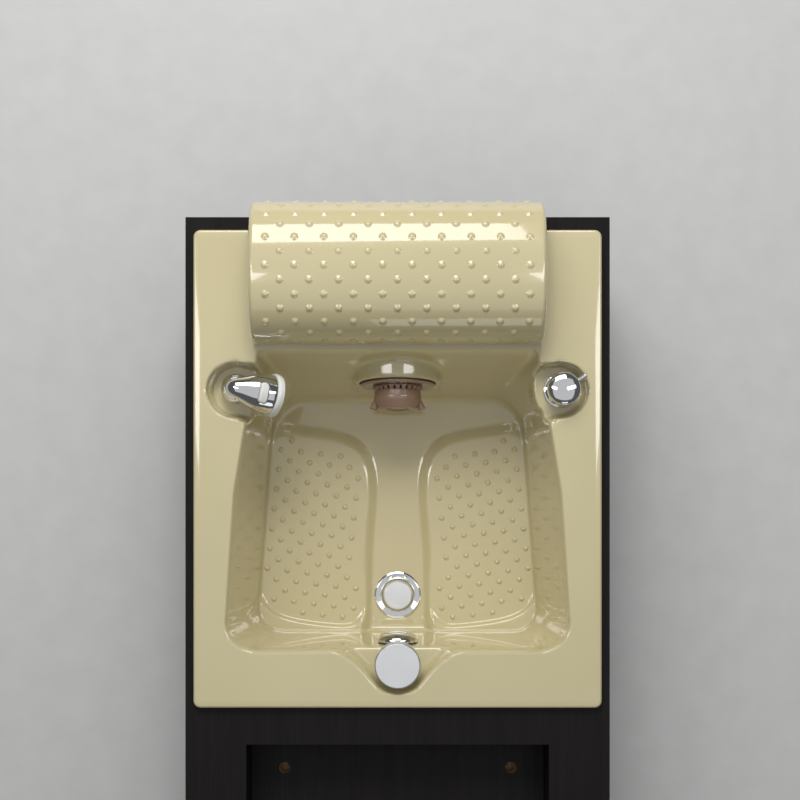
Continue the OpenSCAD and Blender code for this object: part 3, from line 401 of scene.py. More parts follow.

# %% [markdown]
# ## Rubber, hoses and plastics
#
# Moulded plastics differ by gloss more than by colour, so one recipe takes two close tints, a gloss and the
# height of the mould's texture. The hoses are sleeved in fine stainless braid, two sets of waves crossing,
# with painted shade darkening the gaps between the strands. The jet's cap is smoky plastic that lets some
# light through, like tea.

# %% Rubber, hoses and plastics


def moulded(first, second, gloss, grain):
    """A recipe for moulded plastic or rubber. The grain is the height of its texture, in mm."""

    def recipe(place):
        cloud = place.noise(22, 3)
        fine = place.noise(800, 2)
        return {
            "Base Color": cloud.between(0.3, 0.7).tint(first, second),
            "Roughness": gloss + 0.10 * fine,
            "Height": fine * grain,
        }

    return recipe


def braid(place):
    slanting = {"bands_direction": "DIAGONAL"}
    crossing = [
        place.node("TexWave", slanting, {0: place.scaled(side, 1, 1), 1: 260.0, 2: 0.4}, 1)
        for side in (1, -1)
    ]
    # Where the crossing waves are low the colour turns dark: painted shade in the gaps between the strands.
    weave_with_gap_shade = place.sum("MAXIMUM", *crossing)
    return {
        "Base Color": weave_with_gap_shade.tint((0.10, 0.10, 0.11), (0.60, 0.61, 0.62)),
        "Roughness": 0.55 - 0.25 * weave_with_gap_shade,
        "Height": weave_with_gap_shade * 0.3,
    }


add_finish("braided_hose", braid, Metallic=0.85)
add_finish("black_rubber", moulded((0.012, 0.012, 0.013), (0.020, 0.020, 0.021), 0.55, 0.03))
add_finish("white_plastic", moulded((0.80, 0.80, 0.77), (0.85, 0.85, 0.82), 0.22, 0.01))
add_finish("grey_plastic", moulded((0.20, 0.20, 0.21), (0.25, 0.25, 0.26), 0.38, 0.02))
add_finish(
    "smoky_plastic",
    moulded((0.42, 0.27, 0.19), (0.50, 0.33, 0.24), 0.10, 0.004),
    Transmission_Weight=0.25,
    Coat_Weight=0.4,
)
floor.data.materials.append(finish("pale_floor", moulded((0.60, 0.60, 0.59), (0.63, 0.63, 0.62), 0.6, 0.0)))
print("finishes:", sorted(FINISHES))

# %% [markdown]
# ## Every part gets its finish
#
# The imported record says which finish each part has. Those that keep their own shape only need that material
# in their slot, and the pieces modelled further on replace the rest.

# %% Finishes on the frame's parts
SLOT_OF = {subpart["node"]: subpart["material_slot"] for subpart in frame["record"]["subparts"]}
BODY_OF = {node: body for body, nodes in frame["record"]["behaviour"]["bodies"].items() for node in nodes}
for node, slot in SLOT_OF.items():
    frame["nodes"][node].data.materials.clear()
    frame["nodes"][node].data.materials.append(FINISHES[slot])
used = sorted(SLOT_OF.values())
print("parts by slot:", {slot: used.count(slot) for slot in sorted(set(used))})

# %% [markdown]
# ## From a bmesh to a finished piece
#
# Each new piece stands for one part of the frame: it takes that part's place, body and finish. It is modelled
# about any convenient origin in millimetres, and one matrix carries the mesh to its place, so that the
# object itself stays at the frame's origin, unturned and unscaled. The small helpers are used all over: one
# closes a mesh and turns its faces outwards, one is a lathe that spins a profile about Z, one rounds edges.

# %% Finished pieces
SHARP_ANGLE = math.radians(35)
STILL = Matrix.Identity(4)


def piece(bm, node, place=TUB, material=None, weighted=True):
    """Makes a bmesh the piece that stands for a frame part. Edges sharper than 35 degrees stay sharp.
    Weighted normals keep the large flat faces looking flat next to their rounded edges."""
    bmesh.ops.transform(bm, matrix=place, verts=bm.verts)
    mesh = bpy.data.meshes.new(node + "_skin")
    bm.to_mesh(mesh)
    bm.free()
    mesh.shade_smooth()
    mesh.set_sharp_from_angle(angle=SHARP_ANGLE)
    mesh.materials.append(material or FINISHES[SLOT_OF[node]])
    made = bpy.data.objects.new(mesh.name, mesh)
    bpy.context.scene.collection.objects.link(made)
    if weighted:
        made.modifiers.new("weighted", "WEIGHTED_NORMAL").keep_sharp = True
    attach(made, BODY_OF[node])
    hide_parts(node)
    print(f"{made.name}: {len(mesh.polygons)} faces, rides on {BODY_OF[node]}")
    return made


def closed(bm):
    """Merges doubled points and turns all faces outwards."""
    bmesh.ops.remove_doubles(bm, verts=bm.verts, dist=1e-4)
    bmesh.ops.recalc_face_normals(bm, faces=bm.faces)
    return bm


def lathe(path, steps=72):
    """Spins a path of (radius, height) points about Z."""
    bm = bmesh.new()
    points = [bm.verts.new((point[0], 0, point[1])) for point in path]
    edges = [bm.edges.new(pair) for pair in zip(points, points[1:])]
    bmesh.ops.spin(
        bm, geom=points + edges, axis=(0, 0, 1), cent=(0, 0, 0), angle=math.tau, steps=steps, use_merge=True
    )
    return closed(bm)


def only(kind, parts):
    """The points, or the edges, among what a bmesh operator has made."""
    return [part for part in parts if isinstance(part, kind)]


def bevel(bm, edges, width, segments, clamp=False):
    """Rounds edges of a bmesh off. Clamped, the width gives way where edges lie close together."""
    bmesh.ops.bevel(
        bm,
        geom=edges,
        offset=width,
        segments=segments,
        profile=0.5,
        affect="EDGES",
        material=-1,
        clamp_overlap=clamp,
    )


def as_mesh(bm, place=STILL):
    """A loose mesh from a bmesh, which is used up."""
    bmesh.ops.transform(bm, matrix=place, verts=bm.verts)
    mesh = bpy.data.meshes.new("loose")
    bm.to_mesh(mesh)
    bm.free()
    return mesh


print("ready to stand in for any of", len(SLOT_OF), "parts")

# %% [markdown]
# ## The tub's outlines
#
# The tub was moulded over a plug, and the plug's shape is a few outlines: the basin's mouth, its floor, the
# two foot platforms, the notch behind the drain. Outlines that only bulge are a rubber band round a few
# circles, and the others are a few points whose corners are cut four times over until they are smooth. The
# raised floor is the platform and the ledge that joins it to the rear and side walls. What the height at a
# place needs is how far it lies from each outline, which is worked out for all places at once on a 1 mm
# grid. The tub is the same on both sides, so half of it is enough.

# %% Outlines and distances


def band_round(circles, steps=96):
    """The outline of a rubber band round circles given as (x, y, radius)."""
    points = [
        (x + radius * math.cos(math.tau * step / steps), y + radius * math.sin(math.tau * step / steps))
        for x, y, radius in circles
        for step in range(steps)
    ]
    return np.array([points[i] for i in convex_hull_2d(points)])


def softened(points, rounds=4):
    """A closed outline with its corners cut, and cut again."""
    outline = np.array(points, float)
    for _ in range(rounds):
        ahead = np.roll(outline, -1, axis=0)
        pairs = (0.75 * outline + 0.25 * ahead, 0.25 * outline + 0.75 * ahead)
        outline = np.stack(pairs, axis=1).reshape(-1, 2)
    return outline


def both_sides(rows):
    """Rows that start with an x and a y, and the same ones across the middle, in the order of an outline."""
    return rows + [(-x, *rest) for x, *rest in reversed(rows)]


def distance(outline, x, y):
    """How far each place lies outside an outline, in mm. It is negative inside."""
    nearest = np.full(x.shape, np.inf)
    inside = np.zeros(x.shape, bool)
    for (ax, ay), (bx, by) in zip(outline, np.roll(outline, -1, axis=0)):
        along_x, along_y = bx - ax, by - ay
        length = along_x * along_x + along_y * along_y
        if length < 1e-9:
            continue
        share = np.clip(((x - ax) * along_x + (y - ay) * along_y) / length, 0, 1)
        nearest = np.minimum(nearest, np.hypot(x - ax - share * along_x, y - ay - share * along_y))
        if ay != by:
            inside ^= ((ay > y) != (by > y)) & (x < along_x * (y - ay) / along_y + ax)
    return np.where(inside, -nearest, nearest)


BASIN_DEPTH = 200
PLATFORM_RISE = 10
LEDGE_RISE = 6
SHELF_DEPTH = 35
MOUTH = band_round(both_sides([(185, 153, 14), (209.7, -37, 20), (203, -217, 38)]))
BASIN_FLOOR = band_round(both_sides([(140.7, 55, 50), (172, -211, 38)]))
PLATFORM_FRONT = [(193, 58), (140, 48), (84, 40), (56, 21), (42, -22), (50, -109), (53, -170)]
PLATFORM_REAR = [(53, -239), (121, -235), (180, -224), (207, -200), (211, -170)]
LEDGE_REAR = [(54, -300), (240, -300), (240, -170)]
PLATFORM_SIDE = [(205, -109), (199, -37)]
PLATFORM = softened(PLATFORM_FRONT + PLATFORM_REAR + PLATFORM_SIDE)
RAISED = softened(PLATFORM_FRONT + LEDGE_REAR + PLATFORM_SIDE)
NOTCH = softened(
    both_sides([(0, -317), (24, -312), (46, -285), (66, -265), (84, -256), (120, -252), (120, -240)])
)

half_x, half_y = 288, 337
grid_x, grid_y = np.meshgrid(np.arange(0.0, half_x + 1), np.arange(-half_y, half_y + 1.0))
mouth_gap = distance(MOUTH, grid_x, grid_y)
floor_gap = distance(BASIN_FLOOR, grid_x, grid_y)
platform_gap = distance(PLATFORM, grid_x, grid_y)
raised_gap = distance(RAISED, grid_x, grid_y)
notch_gap = distance(NOTCH, grid_x, grid_y)
print("outlines:", len(MOUTH), len(BASIN_FLOOR), len(PLATFORM), len(NOTCH), "points")

# %% [markdown]
# ## Rounding by a rolling ball
#
# A mould is rounded everywhere, along each edge and in each corner. Rolling a ball over the height map does
# all of it at once: a ball rolled under the surface can't reach into a sharp edge and rounds it, and one
# rolled over it leaves a fillet in every corner. The wall's underside is what the centre of one more ball
# traces, one wall thickness below. A ball on a grid of whole millimetres leaves tiny ripples on a slope, and
# a gloss shows them all. So the plain slopes are put back as they were, and the map is lightly polished.

# %% Rolling balls


def rolled(surface, radius, side):
    """The surface that a ball's centre traces as it rolls over (side 1) or under (side -1) a height map."""
    reach = int(radius)
    padded = np.pad(side * surface, reach, mode="edge")
    rows, columns = surface.shape
    highest = np.full(surface.shape, -np.inf)
    for i in range(2 * reach + 1):
        for j in range(2 * reach + 1):
            square = radius * radius - (i - reach) ** 2 - (j - reach) ** 2
            if square >= 0:
                np.maximum(highest, padded[i : i + rows, j : j + columns] + math.sqrt(square), out=highest)
    return side * highest


def ease(share):
    """0 to 1 with a soft start and a soft end."""
    share = np.clip(share, 0, 1)
    return share * share * (3 - 2 * share)


RIPPLE = 0.04  # a ball on the grid strays this far, in mm, from a surface that it touches everywhere
BLEND = 0.12  # past that, the ball's rounding fades in over this much


def rounded(surface, radius, side):
    """The surface after a ball has rolled over it (side 1) or under it (side -1) and back. Where the ball
    touches all of it, the surface stays exactly as it was, so that a plain slope mirrors without a ripple."""
    ball = rolled(rolled(surface, radius, side), radius, -side)
    slope_y, slope_x = np.gradient(surface)
    gap = np.abs(ball - surface) / np.sqrt(1 + slope_x * slope_x + slope_y * slope_y)
    return surface + (ball - surface) * ease((gap - RIPPLE) / BLEND)


def polished(surface, rounds):
    """The surface with each place moved towards the average of its four neighbours, a few times over."""
    for _ in range(rounds):
        padded = np.pad(surface, 1, mode="edge")
        around = padded[:-2, 1:-1] + padded[2:, 1:-1] + padded[1:-1, :-2] + padded[1:-1, 2:]
        surface = surface / 2 + around / 8
    return surface


EDGE_RADIUS, CORNER_RADIUS, STEP_RADIUS, WALL = 4, 10, 4, 6
print("ball radii:", EDGE_RADIUS, CORNER_RADIUS, STEP_RADIUS, "mm, wall", WALL, "mm")

# %% [markdown]
# ## The tub's height at every place
#
# The wall between mouth and floor is a straight slope, as far down as the place is across. The jet's boss is
# added to it, and the basin's corners get their wide fillet. Then come the smaller forms. Each is the higher
# or the lower of two heights: the pockets and the notch are cut into the rim, and the pockets' lips, the
# platforms and the ledge behind them are added in the basin. Where a pocket meets the mouth, the two
# outlines flow together, which gives the S-shaped curve of the real tub. The edges and the steps come last.

# %% The height map
_, _, jet = in_tub("jet_gasket")
_, _, tap = in_tub("mixer_base")
BOSS_RADIUS = 62.5
JET_TILT = math.radians(6)
POCKET_RADIUS, LIP_RADIUS = 39, 36
POCKET_SHIFT = Vector((-4, -1))  # from the tap to the middle of its pocket
POCKET_RUN, NOTCH_RUN, LEDGE_RUN = 3.5, 5, 6  # how wide their edges are
LIP_INSET = 5  # how far inside the mouth a pocket's lip ends
FLOW = 24  # how far from their crossing two outlines start to flow together


def flowing(gap, other, reach):
    """A distance, made less where another outline is nearly as near."""
    closeness = np.clip(1 - np.abs(gap - other) / reach, 0, 1)
    return gap - reach * closeness * closeness / 4


inside_mouth = np.maximum(-mouth_gap, 0)
outside_floor = np.maximum(floor_gap, 0)
height = -BASIN_DEPTH * inside_mouth / np.maximum(inside_mouth + outside_floor, 1e-6)

boss_side = np.sqrt(np.maximum(BOSS_RADIUS**2 - grid_x**2, 0)) + jet.z
boss_face = (grid_y - jet.y) / math.tan(JET_TILT) + jet.z
boss = np.where(grid_x < BOSS_RADIUS, np.minimum(boss_side, boss_face), -BASIN_DEPTH)
height = np.maximum(height, np.minimum(boss, 0))

height = rounded(height, CORNER_RADIUS, 1)

pocket_reach = np.hypot(grid_x - tap.x - POCKET_SHIFT.x, grid_y - tap.y - POCKET_SHIFT.y)
pocket_gap = flowing(pocket_reach - POCKET_RADIUS, mouth_gap, FLOW)
height = np.minimum(height, -SHELF_DEPTH * ease(-pocket_gap / POCKET_RUN))
tap_reach = np.hypot(grid_x - tap.x, grid_y - tap.y)
lip_gap = flowing(tap_reach - LIP_RADIUS, -mouth_gap - LIP_INSET, FLOW)
height = np.where(lip_gap < 0, np.maximum(height, -SHELF_DEPTH), height)

NOTCH_FRONT = -251
notch = -SHELF_DEPTH * ease(-notch_gap / NOTCH_RUN)
height = np.minimum(height, np.where(grid_y < NOTCH_FRONT, notch, 0))
print("basin from", round(height.min()), "to", round(height.max()), "mm")

STEP_RUN, FRONT_EXTRA = 13, 4  # how wide the platforms' step is, and how much wider at their front
FRONT_FROM, FRONT_FADE = -20, 50
LEDGE_FROM, LEDGE_FADE = -120, 70
step_run = STEP_RUN + FRONT_EXTRA * ease((grid_y - FRONT_FROM) / FRONT_FADE)
ledge = LEDGE_RISE * ease(platform_gap / LEDGE_RUN) * ease((LEDGE_FROM - grid_y) / LEDGE_FADE)
platform = (PLATFORM_RISE + ledge) * (1 - np.clip(raised_gap / step_run, 0, 1)) - BASIN_DEPTH
height = np.maximum(height, platform)
height = np.hstack((height[:, :0:-1], height))
height = rounded(height, EDGE_RADIUS, -1)
height = rounded(height, STEP_RADIUS, 1)
height = polished(height, 5)
underside = rolled(height, WALL, -1)
print("rounded", height.shape, "grid")

# %% [markdown]
# ## The tub's mesh
#
# The mesh is a grid whose lines are close together where the walls are steep and far apart on the flat rim.
# Its points take their height from the map. The rim's edge is then extruded down and its corners and top
# edge bevelled, the underside is a second, coarser grid, and the bottom of the lip is filled between the two.

# %% Skins from the map


def lines(*stretches):
    """Whole millimetres from stretches of (start, end, step)."""
    return [place for start, end, step in stretches for place in range(start, end, step)]


def skin(columns, rows, surface, half_width, half_depth):
    """A grid of points on the height map. Its outermost lines lie on the given half sizes."""
    bm = bmesh.new()
    bmesh.ops.create_grid(bm, x_segments=len(columns) - 1, y_segments=len(rows) - 1, size=1)
    for vertex in bm.verts:
        i = round((vertex.co.x + 1) / 2 * (len(columns) - 1))
        j = round((vertex.co.y + 1) / 2 * (len(rows) - 1))
        level = surface[rows[j] + half_y, columns[i] + half_x]
        x = math.copysign(half_width, columns[i]) if i in (0, len(columns) - 1) else columns[i]
        y = math.copysign(half_depth, rows[j]) if j in (0, len(rows) - 1) else rows[j]
        vertex.co = (x, y, level)
    return bm


def every_other(places):
    """Half as many lines, with both outermost ones kept."""
    return places[:-1:2] + places[-1:]


def edge_of(bm):
    return [edge for edge in bm.edges if edge.is_boundary]


def with_lip(bm):
    """Extrudes a skin's outer edge down to the foot of the rim."""
    lip = bmesh.ops.extrude_edge_only(bm, edges=edge_of(bm))["geom"]
    for vertex in only(bmesh.types.BMVert, lip):
        vertex.co.z = -RIM_HEIGHT
    return bm


RIM_HEIGHT, RIM_CORNER, RIM_EDGE = 12, 10, 3.5
FLAT_X, FLAT_Y = 276, 322  # the rim is flat from here out
side_lines = lines((0, 30, 5), (30, 62, 2), (62, 172, 5), (172, 184, 2), (184, 246, 1), (246, 278, 2))
columns = [-half_x] + [-x for x in reversed(side_lines)][:-1] + side_lines + [half_x]
rows = lines((-324, -256, 2), (-256, -206, 1), (-206, -38, 6), (-38, 70, 4), (70, 152, 1), (152, 180, 4))
rows += lines((180, 322, 12))
rows = [-half_y] + rows + [322, half_y]

bm = skin(columns, rows, height, RIM_HALF_X, RIM_HALF_Y)
inner = [vertex for vertex in bm.verts if abs(vertex.co.x) < FLAT_X and abs(vertex.co.y) < FLAT_Y]
bmesh.ops.smooth_vert(bm, verts=inner, factor=0.5, use_axis_x=True, use_axis_y=True, use_axis_z=True)
with_lip(bm)
corners = [
    edge
    for edge in bm.edges
    if all(abs(v.co.x) > RIM_HALF_X - 0.1 and abs(v.co.y) > RIM_HALF_Y - 0.1 for v in edge.verts)
]
bevel(bm, corners, RIM_CORNER, 6)
top_edge = [
    edge
    for edge in bm.edges
    if len(edge.link_faces) == 2
    and abs(edge.verts[0].co.z) < 0.01
    and abs(edge.verts[1].co.z) < 0.01
    and min(abs(face.normal.z) for face in edge.link_faces) < 0.1
]
bevel(bm, top_edge, RIM_EDGE, 3)
print("upper skin", len(bm.faces), "faces, corners", len(corners), "rim edge", len(top_edge))

under = skin(every_other(columns), every_other(rows), underside, RIM_HALF_X - WALL, RIM_HALF_Y - WALL)
bm.from_mesh(as_mesh(with_lip(under)))
bmesh.ops.triangle_fill(bm, edges=edge_of(bm), use_beauty=True)
bmesh.ops.recalc_face_normals(bm, faces=bm.faces)
print("tub skin", len(bm.faces), "faces, open edges", len(edge_of(bm)))

# %% [markdown]
# ## The bumps on the platforms
#
# The platforms massage the feet with small domes on a diamond lattice. One dome is turned on the lathe and
# copied to each place of the lattice that lies well inside the platform's outline. It has few faces, because
# it is there some hundred and fifty times, and its foot is sunk a little into the surface.

# %% Bumps
BUMP_SUNK = 0.25


def bump_mesh(radius, rise, sides=10):
    """One moulded bump: a low dome whose foot leaves the surface softly and lies a little below it."""
    return as_mesh(
        lathe([(radius * t, rise * (1 - t * t) ** 1.5 - BUMP_SUNK) for t in (0, 0.3, 0.55, 0.78, 1)], sides)
    )


def set_bump(bm, mesh, place):
    """Adds a copy of a bump to a bmesh, at a place given as a matrix."""
    before = set(bm.verts)
    bm.from_mesh(mesh)
    bmesh.ops.transform(bm, matrix=place, verts=[vertex for vertex in bm.verts if vertex not in before])


foot_bump = bump_mesh(5.2, 3.1)
LATTICE_START = Vector((-161.4, 42.5))
LATTICE_PITCH, LATTICE_ROW = 30.6, 15.2
LATTICE_TURN = Matrix.Rotation(math.radians(-6.5), 2)
BUMP_MARGIN = 9  # least distance from a bump's middle to the platform's edge
spots = [
    LATTICE_START + LATTICE_TURN @ Vector(((column + row % 2 / 2) * LATTICE_PITCH, -row * LATTICE_ROW))
    for row in range(-3, 24)
    for column in range(-8, 9)
]
edge_gaps = distance(PLATFORM, np.array([-spot.x for spot in spots]), np.array([spot.y for spot in spots]))
spots = [spot for spot, gap in zip(spots, edge_gaps) if gap < -BUMP_MARGIN]
for spot in spots:
    for side in (1, -1):
        set_bump(bm, foot_bump, Matrix.Translation((side * spot.x, spot.y, PLATFORM_RISE - BASIN_DEPTH)))
print(2 * len(spots), "bumps on the platforms")
piece(bm, "tub", weighted=False)

# %% [markdown]
# ## The footrest
#
# The footrest is a saddle of the same gelcoat. Its profile is a squared-off ellipse, which is extruded
# across the tub as a closed block. The block's flat underside is taken away, its two end edges are bevelled
# wide, and the skin is given its wall thickness. Rows of ten and nine larger bumps follow the curve.

# %% Footrest
rest_low, rest_high, rest_middle = in_tub("footrest")
REST_BUMP_RISE = 2.4
REST_POWER = 2.3
rest_half = (rest_high.y - rest_low.y) / 2 - REST_BUMP_RISE * 0.6
rest_rise = rest_high.z - rest_low.z - REST_BUMP_RISE * 0.9
REST_EDGE = 7
PROFILE_STEPS = 72


def rest_profile(angle):
    """A point of the footrest's profile, at x = 0, and the way its surface faces there."""
    along, up = math.cos(angle), math.sin(angle)
    y = math.copysign(abs(along) ** (2 / REST_POWER), along)
    z = max(up, 0) ** (2 / REST_POWER)
    lean = math.copysign(abs(y) ** (REST_POWER - 1), y) / rest_half
    facing = Vector((0, lean, z ** (REST_POWER - 1) / rest_rise)).normalized()
    return Vector((0, rest_middle.y + y * rest_half, rest_low.z + z * rest_rise)), facing


bm = bmesh.new()
end_points = []
for step in range(PROFILE_STEPS + 1):
    point, _ = rest_profile(math.pi * (0.5 - 0.5 * math.cos(math.pi * step / PROFILE_STEPS)))
    end_points.append(bm.verts.new((rest_low.x, point.y, point.z)))
block = bmesh.ops.extrude_face_region(bm, geom=[bm.faces.new(end_points)])["geom"]
far_end = only(bmesh.types.BMVert, block)
bmesh.ops.translate(bm, vec=(rest_high.x - rest_low.x, 0, 0), verts=far_end)
bmesh.ops.recalc_face_normals(bm, faces=bm.faces)
bottom = [face for face in bm.faces if face.normal.z < -0.99]
bmesh.ops.delete(bm, geom=bottom, context="FACES")
ends = [
    edge
    for edge in bm.edges
    if len(edge.link_faces) == 2 and any(abs(face.normal.x) > 0.99 for face in edge.link_faces)
]
bevel(bm, ends, REST_EDGE, 5)
bmesh.ops.solidify(bm, geom=bm.faces[:], thickness=WALL)
bmesh.ops.recalc_face_normals(bm, faces=bm.faces)

rest_bump = bump_mesh(6.2, REST_BUMP_RISE, 12)
ROW_PITCH, BUMP_PITCH = 19.7, 40
FIRST_ROW = 2.9  # how far the middle row lies from the crest
LOWEST_BUMP = 9  # least height of a bump's middle above the footrest's foot
ARC_STEPS = 2000
arc = 0.0
marks = []
before = None
for step in range(ARC_STEPS):
    point, facing = rest_profile(math.pi / 2 * (1 - step / ARC_STEPS))
    arc += (point - before).length if before else 0
    before = point
    marks.append((arc, point, facing))
rest_bumps = 0
for row in range(-7, 8):
    reach = FIRST_ROW + row * ROW_PITCH
    near = [mark for mark in marks if mark[0] >= abs(reach)]
    if not near or near[0][1].z < rest_low.z + LOWEST_BUMP:
        continue
    _, point, facing = near[0]
    way = math.copysign(1, reach)
    y = rest_middle.y + way * (point.y - rest_middle.y)
    tilt = Vector((0, way * facing.y, facing.z)).to_track_quat("Z", "X").to_matrix().to_4x4()
    count = 10 - row % 2
    for index in range(count):
        x = (index - (count - 1) / 2) * BUMP_PITCH
        set_bump(bm, rest_bump, Matrix.Translation((x, y, point.z)) @ tilt)
        rest_bumps += 1
print(rest_bumps, "bumps on the footrest")
piece(bm, "footrest", weighted=False)

# %% [markdown]
# ## Turned parts
#
# Taps, knobs and drain fittings are turned or spun: round about an axis, with every edge eased. Their
# profiles are (radius, height) corners, some with a small radius of their own, and the lathe spins them into
# a piece. Another helper cuts holes and slots with a Boolean modifier, whose result is taken at once.

# %% Lathe and saw


def eased(corners, steps=5):
    """A path through (x, y) or (x, y, radius) corners, with an arc where a radius is given."""
    path = []
    for index, corner in enumerate(corners):
        here = Vector(corner[:2])
        if len(corner) < 3:
            path.append(here)
            continue
        back = (Vector(corners[index - 1][:2]) - here).normalized()
        ahead = (Vector(corners[index + 1][:2]) - here).normalized()
        half = back.angle(ahead) / 2
        centre = here + (back + ahead).normalized() * corner[2] / math.sin(half)
        start = (here + back * corner[2] / math.tan(half) - centre).normalized()
        stop = (here + ahead * corner[2] / math.tan(half) - centre).normalized()
        path += [centre + start.slerp(stop, step / steps) * corner[2] for step in range(steps + 1)]
    return path


def oval(radius, rise, base, steps=14):
    """The profile of an oval dome, from its middle out to its edge."""
    turns = [math.pi / 2 * step / steps for step in range(steps + 1)]
    return [Vector((radius * math.sin(turn), base + rise * math.cos(turn))) for turn in turns]


def joined(*parts):
    """One bmesh from several, each given as (bmesh, matrix)."""
    whole = bmesh.new()
    for bm, place in parts:
        whole.from_mesh(as_mesh(bm, place))
    return whole


def carved(bm, cutter):
    """A bmesh with another cut out of it."""
    block, tool = (bpy.data.objects.new("loose", as_mesh(part)) for part in (bm, cutter))
    for thing in (block, tool):
        bpy.context.scene.collection.objects.link(thing)
    cut = block.modifiers.new("cut", "BOOLEAN")
    cut.object = tool
    cut.solver = "EXACT"
    bpy.context.view_layer.update()
    result = bmesh.new()
    result.from_object(block, bpy.context.evaluated_depsgraph_get())
    for thing in (block, tool):
        bpy.data.objects.remove(thing)
    return result


def shift(x, y, z):
    return Matrix.Translation((x, y, z))


def spin_about(degrees, axis):
    return Matrix.Rotation(math.radians(degrees), 4, axis)


def upright(node):
    """Foot, top and radius of an upright part in the tub's millimetres, and the matrix to its axis."""
    low, high, middle = in_tub(node)
    return low.z, high.z, (high.x - low.x) / 2, TUB @ shift(middle.x, middle.y, 0)


def turned(node, place, corners):
    """The piece for a frame part that is one turned profile."""
    return piece(lathe(eased(corners)), node, place)


print("lathe and saw ready")

# %% [markdown]
# ## Mixer tap
#
# The mixer is a chrome body with a domed cap that turns and tilts on a ball, and a short pin to move it by.
# The body's foot is a stepped ring. The cap is a spun cup, so it has a lip and is hollow underneath. The
# pin is turned too, and screwed into the cap's side.

# %% Mixer tap
SHELF = -SHELF_DEPTH
foot, top, foot_radius, at_mixer = upright("mixer_base")
body_radius = foot_radius - 4
turned(
    "mixer_base",
    at_mixer,
    [(0, foot), (11, foot), (11, SHELF), (foot_radius, SHELF), (foot_radius, SHELF + 4, 1.4)]
    + [(body_radius + 0.8, SHELF + 5, 1.2), (body_radius, top, 1.5), (10.3, top), (10.3, top - 14)]
    + [(0, top - 14)],
)

foot, top, cap_radius, _ = upright("mixer_handle")
shoulder = top - 9
cup = oval(cap_radius, 9, shoulder)
lip = [(cap_radius, shoulder), (cap_radius, foot, 0.9), (cap_radius - 2.2, foot, 0.9)]
cup += eased(lip + [(cap_radius - 2.2, shoulder - 1), (0, shoulder - 1)])[1:]
PIN_TURN, PIN_RISE, PIN_START, PIN_Z = 32, 10, 19, 13
at_pin = at_mixer @ shift(0, 0, PIN_Z) @ spin_about(PIN_TURN, "Z") @ spin_about(90 - PIN_RISE, "Y")
piece(lathe(cup), "mixer_handle", at_mixer)
pin = [(0, 0), (3.4, 0)] + oval(3.4, 2.2, 16.5, 6)[::-1]
piece(lathe(pin, 32), "mixer_pin", at_pin @ shift(0, 0, PIN_START))

# %% [markdown]
# ## Hand sprayer
#
# The sprayer's body is one smooth casting: a round neck that bends over and opens into a bell. A circle is
# extruded ring by ring along a curve, each ring turned to face along it and given its own size. A pocket for
# the button is then cut out of the bell. The white collar, the spray plate with its nozzles and the button
# are separate mouldings, and the base is a turned cone that the neck lifts out of.

# %% Hand sprayer
foot, top, foot_radius, at_sprayer = upright("sprayer_base")
turned(
    "sprayer_base",
    at_sprayer,
    [(8.4, foot), (11, foot), (11, SHELF), (foot_radius, SHELF), (foot_radius, SHELF + 4, 1.5)]
    + [(foot_radius - 1, SHELF + 5, 0.3), (foot_radius - 1.4, top - 4, 3.5), (14.6, top, 1)]
    + [(12.8, top), (12.8, top - 14), (8.4, top - 14), (8.4, foot)],
)

HEAD_TURN, HEAD_DROP, ELBOW_Z = -11, 28, 24
head_tilt = spin_about(HEAD_DROP, "Y")
in_head = shift(0, 0, ELBOW_Z) @ head_tilt
at_head = at_sprayer @ spin_about(HEAD_TURN, "Z") @ in_head


def bent(share):
    """A place on the neck's bend, and the way it runs there, in the plane that holds the head."""
    ends = [Vector((0, 0, -4)), Vector((0, 0, 24)), in_head @ Vector((4, 0, 0)), in_head @ Vector((24, 0, 0))]
    back = 1 - share
    weights = (back**3, 3 * back * back * share, 3 * back * share * share, share**3)
    slopes = (back * back, 2 * back * share, share * share)
    place = sum((point * weight for point, weight in zip(ends, weights)), Vector())
    way = sum(((after - before) * weight for before, after, weight in zip(ends, ends[1:], slopes)), Vector())
    return place, way


def swept(rings, sides=56):
    """Extrudes a circle from ring to ring. Each ring is (place, way it faces, radius)."""
    bm = bmesh.new()
    bmesh.ops.create_circle(bm, segments=sides, radius=1, cap_ends=True)
    places = [
        Matrix.Translation(place) @ way.to_track_quat("Z", "Y").to_matrix().to_4x4() @ Matrix.Scale(radius, 4)
        for place, way, radius in rings
    ]
    bmesh.ops.transform(bm, matrix=places[0], verts=bm.verts)
    loop = bm.edges[:]
    for before, after in zip(places, places[1:]):
        grown = bmesh.ops.extrude_edge_only(bm, edges=loop)["geom"]
        loop = only(bmesh.types.BMEdge, grown)
        bmesh.ops.transform(bm, matrix=after @ before.inverted(), verts=only(bmesh.types.BMVert, grown))
    bmesh.ops.contextual_create(bm, geom=loop)
    return closed(bm)


NECK_RADIUS = 12.5
rings = [(Vector((0, 0, z)), Vector((0, 0, 1)), NECK_RADIUS) for z in (-25.5, -15, -8)]
rings += [(*bent(step / 12), NECK_RADIUS + 9 * (step / 12) ** 3.2) for step in range(13)]
BELL = ((28, 23.1), (33, 24.9), (39, 26.4), (46, 27.6), (53, 28.3), (57, 28.5), (58, 28), (58, 20))
for along, radius in BELL:
    rings.append((in_head @ Vector((along, 0, 0)), head_tilt @ Vector((1, 0, 0)), radius))
body = swept(rings)

BUTTON_AT, BUTTON_WIDTH, BUTTON_LENGTH, BUTTON_TOP = 38, 12, 29, 29


